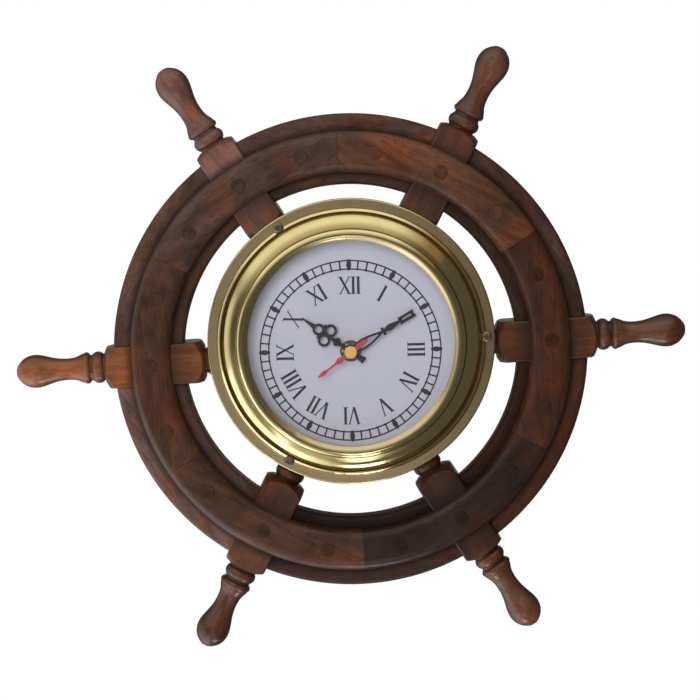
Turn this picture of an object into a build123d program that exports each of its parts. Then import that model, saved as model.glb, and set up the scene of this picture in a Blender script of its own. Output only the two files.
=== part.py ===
from build123d import *
import os
from math import cos, degrees, radians, sin

# Ship's-wheel wall clock, in millimetres: X right, Z up, front towards minus Y.
# The origin is on the wheel's axis at half its depth. Every depth is a distance in front of the wall.

# Wheel
spoke_count = 6
core_depth = 18.0
ring_depth = 10.0
ring_width = 28.0
ring_inner_step = 8.0
ring_outer_step = 11.6
core_round = 3.5
ring_round = 7.0
back_round = 5.5
seam_gap = 0.16
glue_gap = 0.08
overrun = 5.0

# Spoke, from the hub out to the handle
tenon_radius = 7.0
tenon_length = 22.0
neck_length = 17.0
collar_length = 8.2
collar_radius = 9.4
inner_bead_length = 7.9
inner_bead_radius = 10.2
inner_neck_radius = 8.4
block_side = 28.0
block_corner = 1.6
block_inner_overhang = 14.5
block_outer_overhang = 6.4
block_crown = 20.0
inner_shoulder_radius = 10.8
inner_shoulder_length = 8.0
outer_shoulder_radius = 10.4
outer_shoulder_length = 7.5
shoulder_bulge_shares = (0.40, 0.56)
handle_length = 61.0
bulb_radius = 11.3
handle_bead_shares = ((0.016, 0.80), (0.078, 0.96), (0.140, 0.80))
handle_collar_shares = ((0.168, 0.76), (0.183, 0.90), (0.222, 0.95))
handle_cove_shares = ((0.262, 0.86), (0.31, 0.745), (0.37, 0.668), (0.44, 0.648))
handle_bulb_shares = ((0.56, 0.725), (0.68, 0.905), (0.79, 1.0), (0.875, 0.905))
handle_end_shares = ((0.935, 0.70), (0.975, 0.45))

# Dowels through the rim
dowel_radius = 4.7
dowel_turn = 19.5
dowel_proud = 0.5
dowel_sunk = 0.4
dowel_round = 0.45

# Hub
hub_back = 4.0
hub_round = 2.5
pocket_gap = 1.0
pocket_corner = 5.0
tenon_play = 1.0

# Hanger plate on the back of the rim, at the top
top_turn = 90.0
hanger_width = 36.0
hanger_height = 13.0
hanger_corner = 2.0
hanger_thickness = 1.5
keyhole_radius = 4.5
keyhole_slot = 4.4
keyhole_drop = 2.4
keyhole_rise = 5.6
head_pocket_width = 11.0
head_pocket_height = 15.0
head_pocket_depth = 8.0
head_pocket_corner = 3.6
hanger_screw_span = 27.0
hanger_screw_radius = 1.3
hanger_head_radius = 2.6
hanger_head_depth = 1.1
hanger_screw_length = 9.0
drive_width = 0.7
drive_depth = 0.5

# Dial
dial_margin = 2.8
board_depth = 3.0
sheet_depth = 0.3
clock_turn = -2.5
clock_centre = (0.0, 1.5)

# Brass case, which sits a little above the wheel's centre; its outline runs inwards from the flange
case_rise = 7.5
case_shift = 0.8
case_clearance = 0.3
flange_radius = 97.1
flange_depth = 2.2
flange_slope_width = 6.0
flange_slope_height = 2.8
step_foot_width = 0.3
step_foot_height = 3.2
step_bead_width = 2.5
step_bead_mid_share = 0.5
step_bead_mid_height = 4.6
step_bead_height = 5.2
groove_width = 0.3
groove_height = 3.6
groove_wall_width = 0.2
torus_foot = 4.2
torus_width = 9.7
torus_mid_share = 0.5
torus_mid_height = 8.9
torus_height = 10.6
torus_lip_width = 0.9
bore_lip_height = 8.6
ledge_width = 1.5
ledge_height = 6.2
hollow_flange_width = 11.1
hollow_step_width = 2.0
hollow_width = 4.8
hollow_low = 3.0
hollow_high = 7.0
hollow_crown_shares = (0.14, 0.82)
ring_shoulder = 2.2
ring_bevel = 0.8
ring_wall = 3.7
lip_width = 3.9
lip_depth = 1.0
lip_bevel_width = 1.1
lip_bevel_height = 0.6
bead_crest_width = 4.0
bead_rise = 1.2
glass_depth = 2.2
glass_room = 1.5
gasket_width = 2.3
press_gap = 0.06
case_screw_inset = 5.8
case_screw_count = 3
case_screw_turn = -1.3
case_seat_gap = 0.4
case_seat_height = 3.0
case_head_radius = 3.5
case_head_depth = 2.3
case_head_round = 1.3
case_shank_radius = 1.75
case_shank_length = 18.0
case_hole_gap = 0.25
case_drive_length = 4.0
case_drive_width = 0.95
case_drive_depth = 1.1

# Movement case; depths inside the movement are distances in front of its back
movement_corner = 4.0
movement_wall = 1.4
movement_split = 8.0
movement_roof_gap = 0.7
bush_rise = 6.2
bush_gap = 0.08
bush_wall = 1.32
washer_radius = 7.2
washer_depth = 0.5
nut_wall = 1.2
nut_sides = 6
nut_depth = 2.2
post_radius = 0.5
motion_post_radius = 0.7
pivot_boss_radius = 1.6
pivot_boss_depth = 2.2
run_gap = 0.06

# Battery bay
battery_radius = 7.0
battery_length = 49.0
battery_end_room = 2.1
battery_gap = 0.2
battery_nub_radius = 2.7
battery_nub_length = 1.0
battery_round = 0.6
bay_wall = 1.0
bay_gap = 0.5
contact_thickness = 0.4
contact_width = 9.0
contact_height = 8.0
contact_spring_radius = 3.2
contact_tip_radius = 1.6

# Electrics
board_width = 15.0
board_height = 12.0
board_thickness = 1.0
board_centre = (17.5, 19.0)
chip_side = 4.2
chip_height = 1.0
chip_centre = (14.5, 17.0)
crystal_radius = 1.0
crystal_length = 6.2
crystal_centre = (20.0, 22.4)
stator_back = 5.3
stator_depth = 0.8
stator_left = -19.0
stator_right = 3.0
stator_low = 12.6
stator_yoke = 20.4
stator_top = 24.6
stator_margin = 2.0
stator_leg = 3.0
core_low = 22.4
core_high = 24.4
rotor_hole = 3.3
coil_radius = 2.6
coil_flange_radius = 2.85
coil_flange = 0.9
coil_gap = 0.2
stator_post_radius = 1.2
stator_post_points = ((-17.5, 14.5), (1.5, 14.5))

# Wheel train: teeth and modules
rotor_teeth = 8
intermediate_teeth = 40
intermediate_pinion_teeth = 10
second_teeth = 60
second_pinion_teeth = 8
third_teeth = 60
third_pinion_teeth = 8
centre_teeth = 64
cannon_teeth = 12
motion_teeth = 36
motion_pinion_teeth = 10
hour_teeth = 40
knob_teeth = 18
knob_grip_teeth = 20
rotor_module = 0.30
second_module = 0.32
third_module = 0.33
motion_module = 0.375
knob_grip_module = 0.45
addendum_share = 0.7
dedendum_share = 1.0
tooth_foot_share = 0.5
tooth_tip_share = 0.25
third_bearing_turn = 60.0
intermediate_bearing_turn = 120.0
rotor_bearing_turn = 110.0
motion_bearing_turn = 180.0
knob_bearing_turn = 170.0
half_turn = 180.0
full_turn = 360.0

# Wheel train: layers inside the movement, as back and front
rotor_pinion_layer = (2.2, 3.4)
rotor_neck_layer = (3.4, 4.2)
rotor_magnet_layer = (4.2, 7.0)
rotor_magnet_radius = 2.8
rotor_neck_radius = 0.8
rotor_post_end = 7.6
intermediate_layer = (2.4, 3.2)
intermediate_neck_layer = (3.2, 4.0)
intermediate_pinion_layer = (4.0, 5.4)
intermediate_post_end = 5.8
train_neck_radius = 0.9
second_layer = (4.2, 5.2)
second_neck_layer = (5.2, 6.2)
second_pinion_layer = (6.2, 7.6)
second_arbor_back = 2.1
third_layer = (6.4, 7.4)
third_neck_layer = (7.4, 8.6)
third_pinion_layer = (8.6, 10.0)
third_post_end = 6.0
centre_layer = (8.8, 9.8)
minute_arbor_back = 8.4
cannon_layer = (10.4, 12.0)
motion_layer = (10.6, 11.8)
motion_neck_layer = (11.8, 12.4)
motion_pinion_layer = (12.4, 13.9)
motion_post_end = 10.1
motion_neck_radius = 1.35
hour_layer = (12.6, 13.8)
knob_layer = (-3.8, -0.4)
knob_arbor_layer = (-0.4, 12.0)
knob_pinion_layer = (10.4, 12.0)
knob_arbor_radius = 1.0
second_arbor_radius = 0.5
minute_wall = 0.89
hour_wall = 0.79

# Hands, with angles clockwise from the top of the dial; each rises in front of the dial sheet
hand_depth = 0.6
hand_fit = 0.02
hour_rise = 3.7
hour_reach = 0.6
hour_length = 40.0
hour_angle = 305.7
hour_boss_share = 0.125
hour_tail_shares = ((-0.28, 0.062), (-0.08, 0.032))
hour_stem_shares = ((0.05, 0.034), (0.57, 0.028))
hour_knob_shares = ((0.20, 0.030), (0.285, 0.084), (0.35, 0.024))
hour_side_ring_shares = (0.475, 0.098)
hour_front_ring_shares = (0.655, 0.0)
hour_side_ring_radius_shares = (0.108, 0.064)
hour_front_ring_radius_shares = (0.102, 0.058)
hour_nib_shares = ((0.578, 0.142), (0.61, 0.142))
hour_spear_shares = ((0.735, 0.044), (0.82, 0.030), (1.0, 0.008))
minute_rise = 5.9
minute_reach = 0.8
minute_length = 49.7
minute_angle = 59.1
minute_boss_share = 0.092
minute_loop_shares = ((0.03, 0.045), (0.13, 0.068), (0.22, 0.074), (0.34, 0.058), (0.52, 0.012))
minute_eye_shares = ((0.08, 0.028), (0.14, 0.041), (0.22, 0.046), (0.33, 0.031), (0.44, 0.005))
minute_nib_shares = ((0.506, 0.056), (0.545, 0.056))
minute_leaf_shares = ((0.48, 0.018), (0.54, 0.022), (0.63, 0.047), (0.70, 0.034), (0.78, 0.018))
minute_baton_shares = ((0.765, 0.018), (0.80, 0.043), (1.0, 0.046))
minute_slot_shares = ((0.825, 0.011), (0.962, 0.011))
cap_gap = 0.1
cap_radius = 3.8
cap_depth = 1.7
cap_round = 0.7
second_gap = 0.7
second_reach = 0.7
second_hand_length = 27.8
second_angle = 233.1
second_boss_share = 0.11
second_hand_shares = (
    (-0.52, 0.012), (-0.44, 0.054), (-0.26, 0.058), (-0.10, 0.05), (0.20, 0.04), (0.34, 0.080),
    (0.46, 0.026), (0.72, 0.024), (0.80, 0.054), (0.88, 0.046), (1.0, 0.010),
)
second_cap_radius = 4.3
second_cap_depth = 1.0
second_cap_round = 0.55

# Worked-out radii of the brass case, inwards from the flange
flange_slope_radius = flange_radius - flange_slope_width
step_bead_outer = flange_slope_radius - step_foot_width
step_bead_inner = step_bead_outer - step_bead_width
step_bead_mid = step_bead_outer - step_bead_mid_share * step_bead_width
groove_outer = step_bead_inner - groove_wall_width
groove_radius = groove_outer - groove_width
torus_outer = groove_radius - groove_wall_width
torus_inner = torus_outer - torus_width
torus_mid_radius = torus_outer - torus_mid_share * torus_width
bore_radius = torus_inner - torus_lip_width
ledge_radius = bore_radius - ledge_width
hollow_outer = flange_radius - hollow_flange_width
hollow_step = hollow_outer - hollow_step_width
hollow_inner = hollow_step - hollow_width
rebate_radius = bore_radius - ring_wall
lip_radius = rebate_radius - lip_width
bead_inner = lip_radius + lip_bevel_width
bead_crest_radius = lip_radius + bead_crest_width
case_screw_circle = flange_radius - case_screw_inset

# Worked-out sizes of the wheel, outwards from the dial
handle_grip_shares = handle_cove_shares + handle_bulb_shares + handle_end_shares
hub_radius = hollow_inner + dial_margin
tenon_end_radius = hub_radius - tenon_length
block_inner_radius = hub_radius + neck_length
rim_inner_radius = block_inner_radius + block_inner_overhang
ring_inner_radius = rim_inner_radius + ring_inner_step
ring_outer_radius = ring_inner_radius + ring_width
rim_outer_radius = ring_outer_radius + ring_outer_step
block_outer_radius = rim_outer_radius + block_outer_overhang
tip_radius = block_outer_radius + handle_length
ring_mid_radius = (ring_outer_radius + ring_inner_radius) / 2
core_mid_radius = (rim_outer_radius + rim_inner_radius) / 2
core_width = rim_outer_radius - rim_inner_radius
spoke_pitch = full_turn / spoke_count
seam_turn = degrees(seam_gap / ring_mid_radius)

# Worked-out depths, from the wall to the glass
rim_depth = core_depth + 2 * ring_depth
axis_depth = rim_depth / 2
block_front = axis_depth + block_side / 2
case_back = block_front + case_clearance
sheet_back = case_back - sheet_depth
hub_front = sheet_back - board_depth
hour_back = case_back + hour_rise
minute_back = case_back + minute_rise
cap_back = minute_back + hand_depth + cap_gap
second_back = cap_back + cap_depth + second_gap
hour_pipe_end = hour_back + hand_depth + hour_reach
minute_arbor_end = minute_back + hand_depth + minute_reach
second_arbor_end = second_back + hand_depth + second_reach
second_cap_back = second_back + hand_depth + glue_gap
glass_rise = second_arbor_end + glass_room - case_back
rebate_height = glass_rise + glass_depth
lip_height = rebate_height + lip_depth
bead_drop = lip_height + lip_bevel_height
bead_height = bead_drop + bead_rise
ring_shoulder_height = ledge_height + ring_shoulder
mid_depth = (case_back + bead_height) / 2
case_centre = (case_shift, case_rise)
wheel_axis = Axis((0, 0, 0), (0, -1, 0))
case_axis = Axis((case_shift, 0, case_rise), (0, -1, 0))

# Worked-out sizes of the movement
minute_bore = second_arbor_radius + run_gap
minute_radius = minute_bore + minute_wall
hour_bore = minute_radius + run_gap
hour_radius = hour_bore + hour_wall
bush_bore = hour_radius + bush_gap
bush_radius = bush_bore + bush_wall
nut_flats_radius = bush_radius + nut_wall
movement_inside = max(battery_length + 2 * battery_end_room, 2 * (stator_top + stator_margin))
movement_side = movement_inside + 2 * movement_wall
movement_roof = motion_pinion_layer[1] + movement_roof_gap
movement_depth = movement_roof + movement_wall
movement_back = hub_front - movement_depth
pocket_side = movement_side + 2 * pocket_gap
battery_low = movement_inside / 2 - battery_radius - battery_gap
battery_axis = movement_roof - battery_gap - battery_radius
bay_top = battery_low - battery_radius - bay_gap - bay_wall
bay_length = movement_inside - 2 * bay_gap
bay_height = 2 * (battery_radius + bay_gap)
second_arbor_layer = (second_arbor_back, second_arbor_end - movement_back)
minute_layer = (minute_arbor_back, minute_arbor_end - movement_back)
hour_pipe_layer = (hour_layer[0], hour_pipe_end - movement_back)
hour_module = motion_module * (cannon_teeth + motion_teeth) / (motion_pinion_teeth + hour_teeth)
centre_module = third_module * (second_pinion_teeth + third_teeth) / (third_pinion_teeth + centre_teeth)


# Placing helpers
def polar(radius, turn):
    """A point in a front-facing plane, at a radius and an angle."""
    return radius * cos(radians(turn)), radius * sin(radians(turn))


def face(depth, turn=0, centre=(0, 0)):
    """A plane facing the viewer at a depth, turned in its own plane."""
    across_x, across_z = polar(1, turn)
    place = (centre[0], mid_depth - depth, centre[1])
    return Plane(origin=place, x_dir=(across_x, 0, across_z), z_dir=(0, -1, 0))


def clock(depth, turn=0):
    """A plane facing the viewer, upright with the dial or turned from there."""
    return face(depth, clock_turn + turn, clock_centre)


def works(depth):
    """A plane in the movement, upright with the dial, at a distance in front of its back."""
    return clock(movement_back + depth)


def radial(turn, centre=(0, 0), depth=0):
    """A plane through the depth axis: radius across, depth up."""
    out_x, out_z = polar(1, turn)
    place = (centre[0], mid_depth - depth, centre[1])
    return Plane(origin=place, x_dir=(out_x, 0, out_z), z_dir=(out_z, 0, -out_x))


def across(radius, turn):
    """A plane square to a spoke, facing outwards."""
    out_x, out_z = polar(1, turn)
    place = (radius * out_x, mid_depth - axis_depth, radius * out_z)
    return Plane(origin=place, x_dir=(out_z, 0, -out_x), z_dir=(out_x, 0, out_z))


def spoke_axis(turn):
    """The turning axis of a spoke."""
    out_x, out_z = polar(1, turn)
    return Axis((0, mid_depth - axis_depth, 0), (out_x, 0, out_z))


def shifted(origin, radius, turn):
    """A point at a radius and an angle from another point."""
    step_x, step_y = polar(radius, turn)
    return origin[0] + step_x, origin[1] + step_y


def case_screw_points():
    """Where the case screws go, in the wheel's front plane."""
    step = full_turn / case_screw_count
    turns = [case_screw_turn + step * n for n in range(case_screw_count)]
    return [shifted(case_centre, case_screw_circle, turn) for turn in turns]


def dowel_points(turns):
    """Where the rim dowels go."""
    return [polar(ring_mid_radius, turn) for turn in turns]


# Shaping helpers, which add to or cut from the piece being built
def rod(layer, radius, points=((0, 0),), upright=clock, mode=Mode.ADD):
    """Round rods between two depths."""
    with BuildSketch(upright(layer[0])) as section:
        with Locations(*points):
            Circle(radius)
    extrude(section.sketch, amount=layer[1] - layer[0], mode=mode)


def slab(layer, width, height, centre=(0, 0), corner=0, upright=clock, mode=Mode.ADD):
    """A rectangular slab between two depths."""
    with BuildSketch(upright(layer[0])) as section:
        with Locations(centre):
            if corner:
                RectangleRounded(width, height, corner)
            else:
                Rectangle(width, height)
    extrude(section.sketch, amount=layer[1] - layer[0], mode=mode)


def gear_points(teeth, module, phase):
    """The outline of a toothed wheel whose first tooth is at an angle."""
    pitch_radius = teeth * module / 2
    foot = pitch_radius - dedendum_share * module
    tip = pitch_radius + addendum_share * module
    step = full_turn / teeth
    foot_turn = tooth_foot_share * step / 2
    tip_turn = tooth_tip_share * step / 2
    corners = ((foot, -foot_turn), (tip, -tip_turn), (tip, tip_turn), (foot, foot_turn))
    return [polar(r, phase + n * step + turn) for n in range(teeth) for r, turn in corners]


def gear(layer, teeth, module, phase=0, centre=(0, 0)):
    """A toothed wheel between two depths."""
    with BuildSketch(works(layer[0])) as section:
        with Locations(centre):
            Polygon(*gear_points(teeth, module, phase), align=None)
    extrude(section.sketch, amount=layer[1] - layer[0])


def meshed(phase, teeth, mate_teeth, bearing):
    """The tooth angle of a mate at a bearing, so that its teeth meet the gaps."""
    return bearing + half_turn - (phase - bearing) * teeth / mate_teeth - half_turn / mate_teeth


def distance(teeth, mate_teeth, module):
    """The distance between two meshing wheels."""
    return module * (teeth + mate_teeth) / 2


def blade(shares, length):
    """An outline point list, mirrored about the length of a hand."""
    right = [(half * length, along * length) for along, half in shares]
    return right + [(-half, along) for half, along in reversed(right)]


def drive(depth, sink, length, width, points, upright=face):
    """A cross recess in screw heads."""
    with BuildSketch(upright(depth - sink)) as recess:
        with Locations(*points):
            Rectangle(length, width)
            Rectangle(width, length)
    extrude(recess.sketch, amount=sink + overrun, mode=Mode.SUBTRACT)


def save(piece, name):
    """Label a finished piece and write it."""
    piece.part.label = name
    export_step(piece.part, f"parts/{name}.step")


os.makedirs("parts", exist_ok=True)
screw_points = case_screw_points()
hanger_centre = (0, ring_mid_radius)
keyhole_point = (0, ring_mid_radius - keyhole_drop)
hanger_screw_points = [(side * hanger_screw_span / 2, ring_mid_radius) for side in (-1, 1)]

# Spokes with their handles
for spoke_index in range(spoke_count):
    spoke_turn = spoke_index * spoke_pitch
    block_length = block_outer_radius - block_inner_radius
    bulge_along, bulge_up = shoulder_bulge_shares
    inner_shoulder = block_inner_radius + inner_shoulder_length
    outer_shoulder = block_outer_radius - outer_shoulder_length
    inner_start = (block_inner_radius, inner_shoulder_radius)
    inner_mid = (
        block_inner_radius + bulge_along * inner_shoulder_length,
        inner_shoulder_radius + bulge_up * (block_crown - inner_shoulder_radius),
    )
    outer_end = (block_outer_radius, outer_shoulder_radius)
    outer_mid = (
        block_outer_radius - bulge_along * outer_shoulder_length,
        outer_shoulder_radius + bulge_up * (block_crown - outer_shoulder_radius),
    )
    collar_start = hub_radius + glue_gap
    collar_end = collar_start + collar_length
    inner_bead_end = collar_end + inner_bead_length
    handle_beads = [
        [(block_outer_radius + along * handle_length, half * bulb_radius) for along, half in shares]
        for shares in (handle_bead_shares, handle_collar_shares, handle_grip_shares)
    ]
    with BuildPart() as spoke:
        with BuildSketch(across(block_inner_radius, spoke_turn)):
            RectangleRounded(block_side, block_side, block_corner)
        extrude(amount=block_length)
        with BuildSketch(radial(spoke_turn, depth=axis_depth)):
            with BuildLine():
                Line((block_inner_radius, 0), inner_start)
                ThreePointArc(inner_start, inner_mid, (inner_shoulder, block_crown))
                Line((inner_shoulder, block_crown), (outer_shoulder, block_crown))
                ThreePointArc((outer_shoulder, block_crown), outer_mid, outer_end)
                Line(outer_end, (block_outer_radius, 0))
                Line((block_outer_radius, 0), (block_inner_radius, 0))
            make_face()
        revolve(axis=spoke_axis(spoke_turn), mode=Mode.INTERSECT)
        with BuildSketch(radial(spoke_turn, depth=axis_depth)):
            with BuildLine():
                bead, collar, grip = handle_beads
                root = (outer_shoulder, 0)
                Polyline(root, (root[0], bead[0][1]), bead[0])
                ThreePointArc(*bead)
                Line(bead[-1], collar[0])
                ThreePointArc(*collar)
                Spline(collar[-1], *grip, (tip_radius, 0), tangents=((1, -1), (0, -1)))
                Line((tip_radius, 0), root)
            make_face()
        revolve(axis=spoke_axis(spoke_turn))
        with BuildSketch(radial(spoke_turn, depth=axis_depth)):
            with BuildLine():
                bead_mid = collar_end + inner_bead_length / 2
                inner_root = (inner_shoulder, 0)
                Polyline(
                    (tenon_end_radius, 0),
                    (tenon_end_radius, tenon_radius),
                    (collar_start, tenon_radius),
                    (collar_start, collar_radius),
                    (collar_end, collar_radius),
                    (collar_end, inner_neck_radius),
                )
                ThreePointArc(
                    (collar_end, inner_neck_radius),
                    (bead_mid, inner_bead_radius),
                    (inner_bead_end, inner_neck_radius),
                )
                Polyline((inner_bead_end, inner_neck_radius), (inner_root[0], inner_neck_radius), inner_root)
                Line(inner_root, (tenon_end_radius, 0))
            make_face()
        revolve(axis=spoke_axis(spoke_turn))
        rod((0, rim_depth), dowel_radius + glue_gap, dowel_points([spoke_turn]), face, Mode.SUBTRACT)
        if spoke_index % (spoke_count // case_screw_count) == 0:
            pilot = [screw_points[spoke_index * case_screw_count // spoke_count]]
            pilot_back = case_back + case_seat_height - case_shank_length - glue_gap
            rod((pilot_back, case_back), case_shank_radius + glue_gap, pilot, face, Mode.SUBTRACT)
    save(spoke, f"spoke_{spoke_index + 1}")

# Front felloes, each notched over a spoke
for spoke_index in range(spoke_count):
    spoke_turn = spoke_index * spoke_pitch
    felloe_start = spoke_turn - (spoke_pitch - seam_turn) / 2
    dowel_turns = [spoke_turn + side * dowel_turn for side in (-1, 0, 1)]
    with BuildPart() as front_felloe:
        with BuildSketch(radial(felloe_start)) as section:
            with Locations((ring_mid_radius, rim_depth - ring_depth / 2)):
                Rectangle(ring_width, ring_depth)
            fillet(section.vertices().group_by(Axis.Y)[-1], ring_round)
        revolve(axis=wheel_axis, revolution_arc=spoke_pitch - seam_turn)
        with BuildSketch(face(0)) as notch:
            with Locations(polar(ring_mid_radius, spoke_turn)):
                Rectangle(ring_width + overrun, block_side + 2 * glue_gap, rotation=spoke_turn)
        extrude(notch.sketch, amount=block_front + glue_gap, mode=Mode.SUBTRACT)
        hole_layer = (0, rim_depth + overrun)
        rod(hole_layer, dowel_radius + glue_gap, dowel_points(dowel_turns), face, Mode.SUBTRACT)
    save(front_felloe, f"front_felloe_{spoke_index + 1}")

# Core felloes, each between two spokes
for spoke_index in range(spoke_count):
    spoke_turn = spoke_index * spoke_pitch
    next_turn = spoke_turn + spoke_pitch
    with BuildPart() as core_felloe:
        with BuildSketch(radial(spoke_turn)) as section:
            with Locations((core_mid_radius, axis_depth)):
                RectangleRounded(core_width, core_depth, core_round)
        revolve(axis=wheel_axis, revolution_arc=spoke_pitch)
        with BuildSketch(face(0)) as notch:
            for turn in (spoke_turn, next_turn):
                with Locations(polar(core_mid_radius, turn)):
                    Rectangle(core_width + overrun, block_side + 2 * glue_gap, rotation=turn)
        extrude(notch.sketch, amount=rim_depth, mode=Mode.SUBTRACT)
        dowel_turns = [spoke_turn + dowel_turn, next_turn - dowel_turn]
        rod((0, rim_depth), dowel_radius + glue_gap, dowel_points(dowel_turns), face, Mode.SUBTRACT)
    save(core_felloe, f"core_felloe_{spoke_index + 1}")

# Back felloes; the two at the top are cut for the hanger plate and the head of a wall screw
for spoke_index in range(spoke_count):
    spoke_turn = spoke_index * spoke_pitch
    felloe_start = spoke_turn - (spoke_pitch - seam_turn) / 2
    dowel_turns = [spoke_turn + side * dowel_turn for side in (-1, 0, 1)]
    with BuildPart() as back_felloe:
        with BuildSketch(radial(felloe_start)) as section:
            with Locations((ring_mid_radius, ring_depth / 2)):
                Rectangle(ring_width, ring_depth)
            fillet(section.vertices().group_by(Axis.Y)[0], back_round)
        revolve(axis=wheel_axis, revolution_arc=spoke_pitch - seam_turn)
        with BuildSketch(face(rim_depth - block_front - glue_gap)) as notch:
            with Locations(polar(ring_mid_radius, spoke_turn)):
                Rectangle(ring_width + overrun, block_side + 2 * glue_gap, rotation=spoke_turn)
        extrude(notch.sketch, amount=rim_depth, mode=Mode.SUBTRACT)
        hole_layer = (-overrun, rim_depth)
        rod(hole_layer, dowel_radius + glue_gap, dowel_points(dowel_turns), face, Mode.SUBTRACT)
        if abs(spoke_turn - top_turn) <= spoke_pitch / 2:
            plate_width = hanger_width + 2 * glue_gap
            plate_height = hanger_height + 2 * glue_gap
            plate_layer = (-overrun, hanger_thickness)
            slab(plate_layer, plate_width, plate_height, hanger_centre, hanger_corner, face, Mode.SUBTRACT)
            slab(
                (0, head_pocket_depth),
                head_pocket_width,
                head_pocket_height,
                hanger_centre,
                head_pocket_corner,
                face,
                Mode.SUBTRACT,
            )
            screw_hole = (0, hanger_screw_length + glue_gap)
            rod(screw_hole, hanger_screw_radius + glue_gap, hanger_screw_points, face, Mode.SUBTRACT)
    save(back_felloe, f"back_felloe_{spoke_index + 1}")

# Dowels through the rim
with BuildPart() as rim_dowels:
    all_turns = [n * spoke_pitch + side * dowel_turn for n in range(spoke_count) for side in (-1, 0, 1)]
    rod((dowel_sunk, rim_depth + dowel_proud), dowel_radius, dowel_points(all_turns), face)
    fillet(rim_dowels.edges().filter_by(GeomType.CIRCLE).sort_by(Axis.Y)[: len(all_turns)], dowel_round)
save(rim_dowels, "rim_dowels")

# Hub
with BuildPart() as hub:
    with BuildSketch(radial(0)) as section:
        with Locations((hub_radius / 2, (hub_back + hub_front) / 2)):
            Rectangle(hub_radius, hub_front - hub_back)
        fillet(section.vertices().group_by(Axis.X)[-1].sort_by(Axis.Y)[0], hub_round)
    revolve(axis=wheel_axis)
    slab((0, hub_front), pocket_side, pocket_side, corner=pocket_corner, mode=Mode.SUBTRACT)
    for spoke_index in range(spoke_count):
        with BuildSketch(across(tenon_end_radius - tenon_play, spoke_index * spoke_pitch)) as socket:
            Circle(tenon_radius + glue_gap)
        extrude(socket.sketch, amount=hub_radius, mode=Mode.SUBTRACT)
save(hub, "hub")

# Keyhole hanger plate and its screws
with BuildPart() as hanger_plate:
    slab((0, hanger_thickness), hanger_width, hanger_height, hanger_centre, hanger_corner, face)
    rod((0, hanger_thickness), keyhole_radius, [keyhole_point], face, Mode.SUBTRACT)
    slot_centre = (0, keyhole_point[1] + keyhole_rise / 2)
    slab((0, hanger_thickness), keyhole_slot, keyhole_rise, slot_centre, 0, face, Mode.SUBTRACT)
    slot_end = (0, keyhole_point[1] + keyhole_rise)
    rod((0, hanger_thickness), keyhole_slot / 2, [slot_end], face, Mode.SUBTRACT)
    rod((0, hanger_thickness), hanger_screw_radius + glue_gap, hanger_screw_points, face, Mode.SUBTRACT)
    sunk_layer = (-overrun, hanger_head_depth + glue_gap)
    rod(sunk_layer, hanger_head_radius + glue_gap, hanger_screw_points, face, Mode.SUBTRACT)
save(hanger_plate, "hanger_plate")

with BuildPart() as hanger_screws:
    rod((0, hanger_head_depth), hanger_head_radius, hanger_screw_points, face)
    rod((0, hanger_screw_length), hanger_screw_radius, hanger_screw_points, face)
    with BuildSketch(face(0)) as recess:
        with Locations(*hanger_screw_points):
            Rectangle(hanger_head_radius, drive_width)
            Rectangle(drive_width, hanger_head_radius)
    extrude(recess.sketch, amount=drive_depth, mode=Mode.SUBTRACT)
save(hanger_screws, "hanger_screws")

# Dial board and dial sheet
dial_hole = bush_radius + glue_gap
with BuildPart() as dial_board:
    rod((hub_front, sheet_back), hub_radius)
    rod((hub_front, sheet_back), dial_hole, mode=Mode.SUBTRACT)
save(dial_board, "dial_board")

with BuildPart() as dial:
    rod((sheet_back, case_back), hub_radius)
    rod((sheet_back, case_back), dial_hole, mode=Mode.SUBTRACT)
save(dial, "dial")

# Bezel base: flange, step bead, groove and the large round moulding, hollow behind
with BuildPart() as bezel_base:
    with BuildSketch(radial(0, case_centre, case_back)):
        with BuildLine():
            rim_half = flange_depth / 2
            slope_end = (flange_slope_radius, flange_slope_height)
            crown_low, crown_high = hollow_crown_shares
            crown_span = hollow_step - hollow_inner
            ThreePointArc(
                (flange_radius - rim_half, 0),
                (flange_radius, rim_half),
                (flange_radius - rim_half, flange_depth),
            )
            Line((flange_radius - rim_half, flange_depth), slope_end)
            Line(slope_end, (step_bead_outer, step_foot_height))
            ThreePointArc(
                (step_bead_outer, step_foot_height),
                (step_bead_mid, step_bead_mid_height),
                (step_bead_inner, step_bead_height),
            )
            Polyline(
                (step_bead_inner, step_bead_height),
                (groove_outer, groove_height),
                (groove_radius, groove_height),
                (torus_outer, torus_foot),
            )
            ThreePointArc(
                (torus_outer, torus_foot),
                (torus_mid_radius, torus_mid_height),
                (torus_inner, torus_height),
            )
            Polyline(
                (torus_inner, torus_height),
                (bore_radius, bore_lip_height),
                (bore_radius, ledge_height),
                (ledge_radius, ledge_height),
                (ledge_radius, 0),
                (hollow_inner, 0),
                (hollow_inner, ledge_height),
                (hollow_inner + crown_low * crown_span, hollow_high),
                (hollow_inner + crown_high * crown_span, hollow_high),
                (hollow_step, hollow_low),
                (hollow_outer, hollow_low),
                (hollow_outer, 0),
                (flange_radius - rim_half, 0),
            )
        make_face()
    revolve(axis=case_axis)
    seat = case_back + case_seat_height
    seat_radius = case_head_radius + case_seat_gap
    hole_radius = case_shank_radius + case_hole_gap
    rod((seat, seat + torus_height), seat_radius, screw_points, face, Mode.SUBTRACT)
    rod((case_back - overrun, seat), hole_radius, screw_points, face, Mode.SUBTRACT)
save(bezel_base, "bezel_base")

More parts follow.
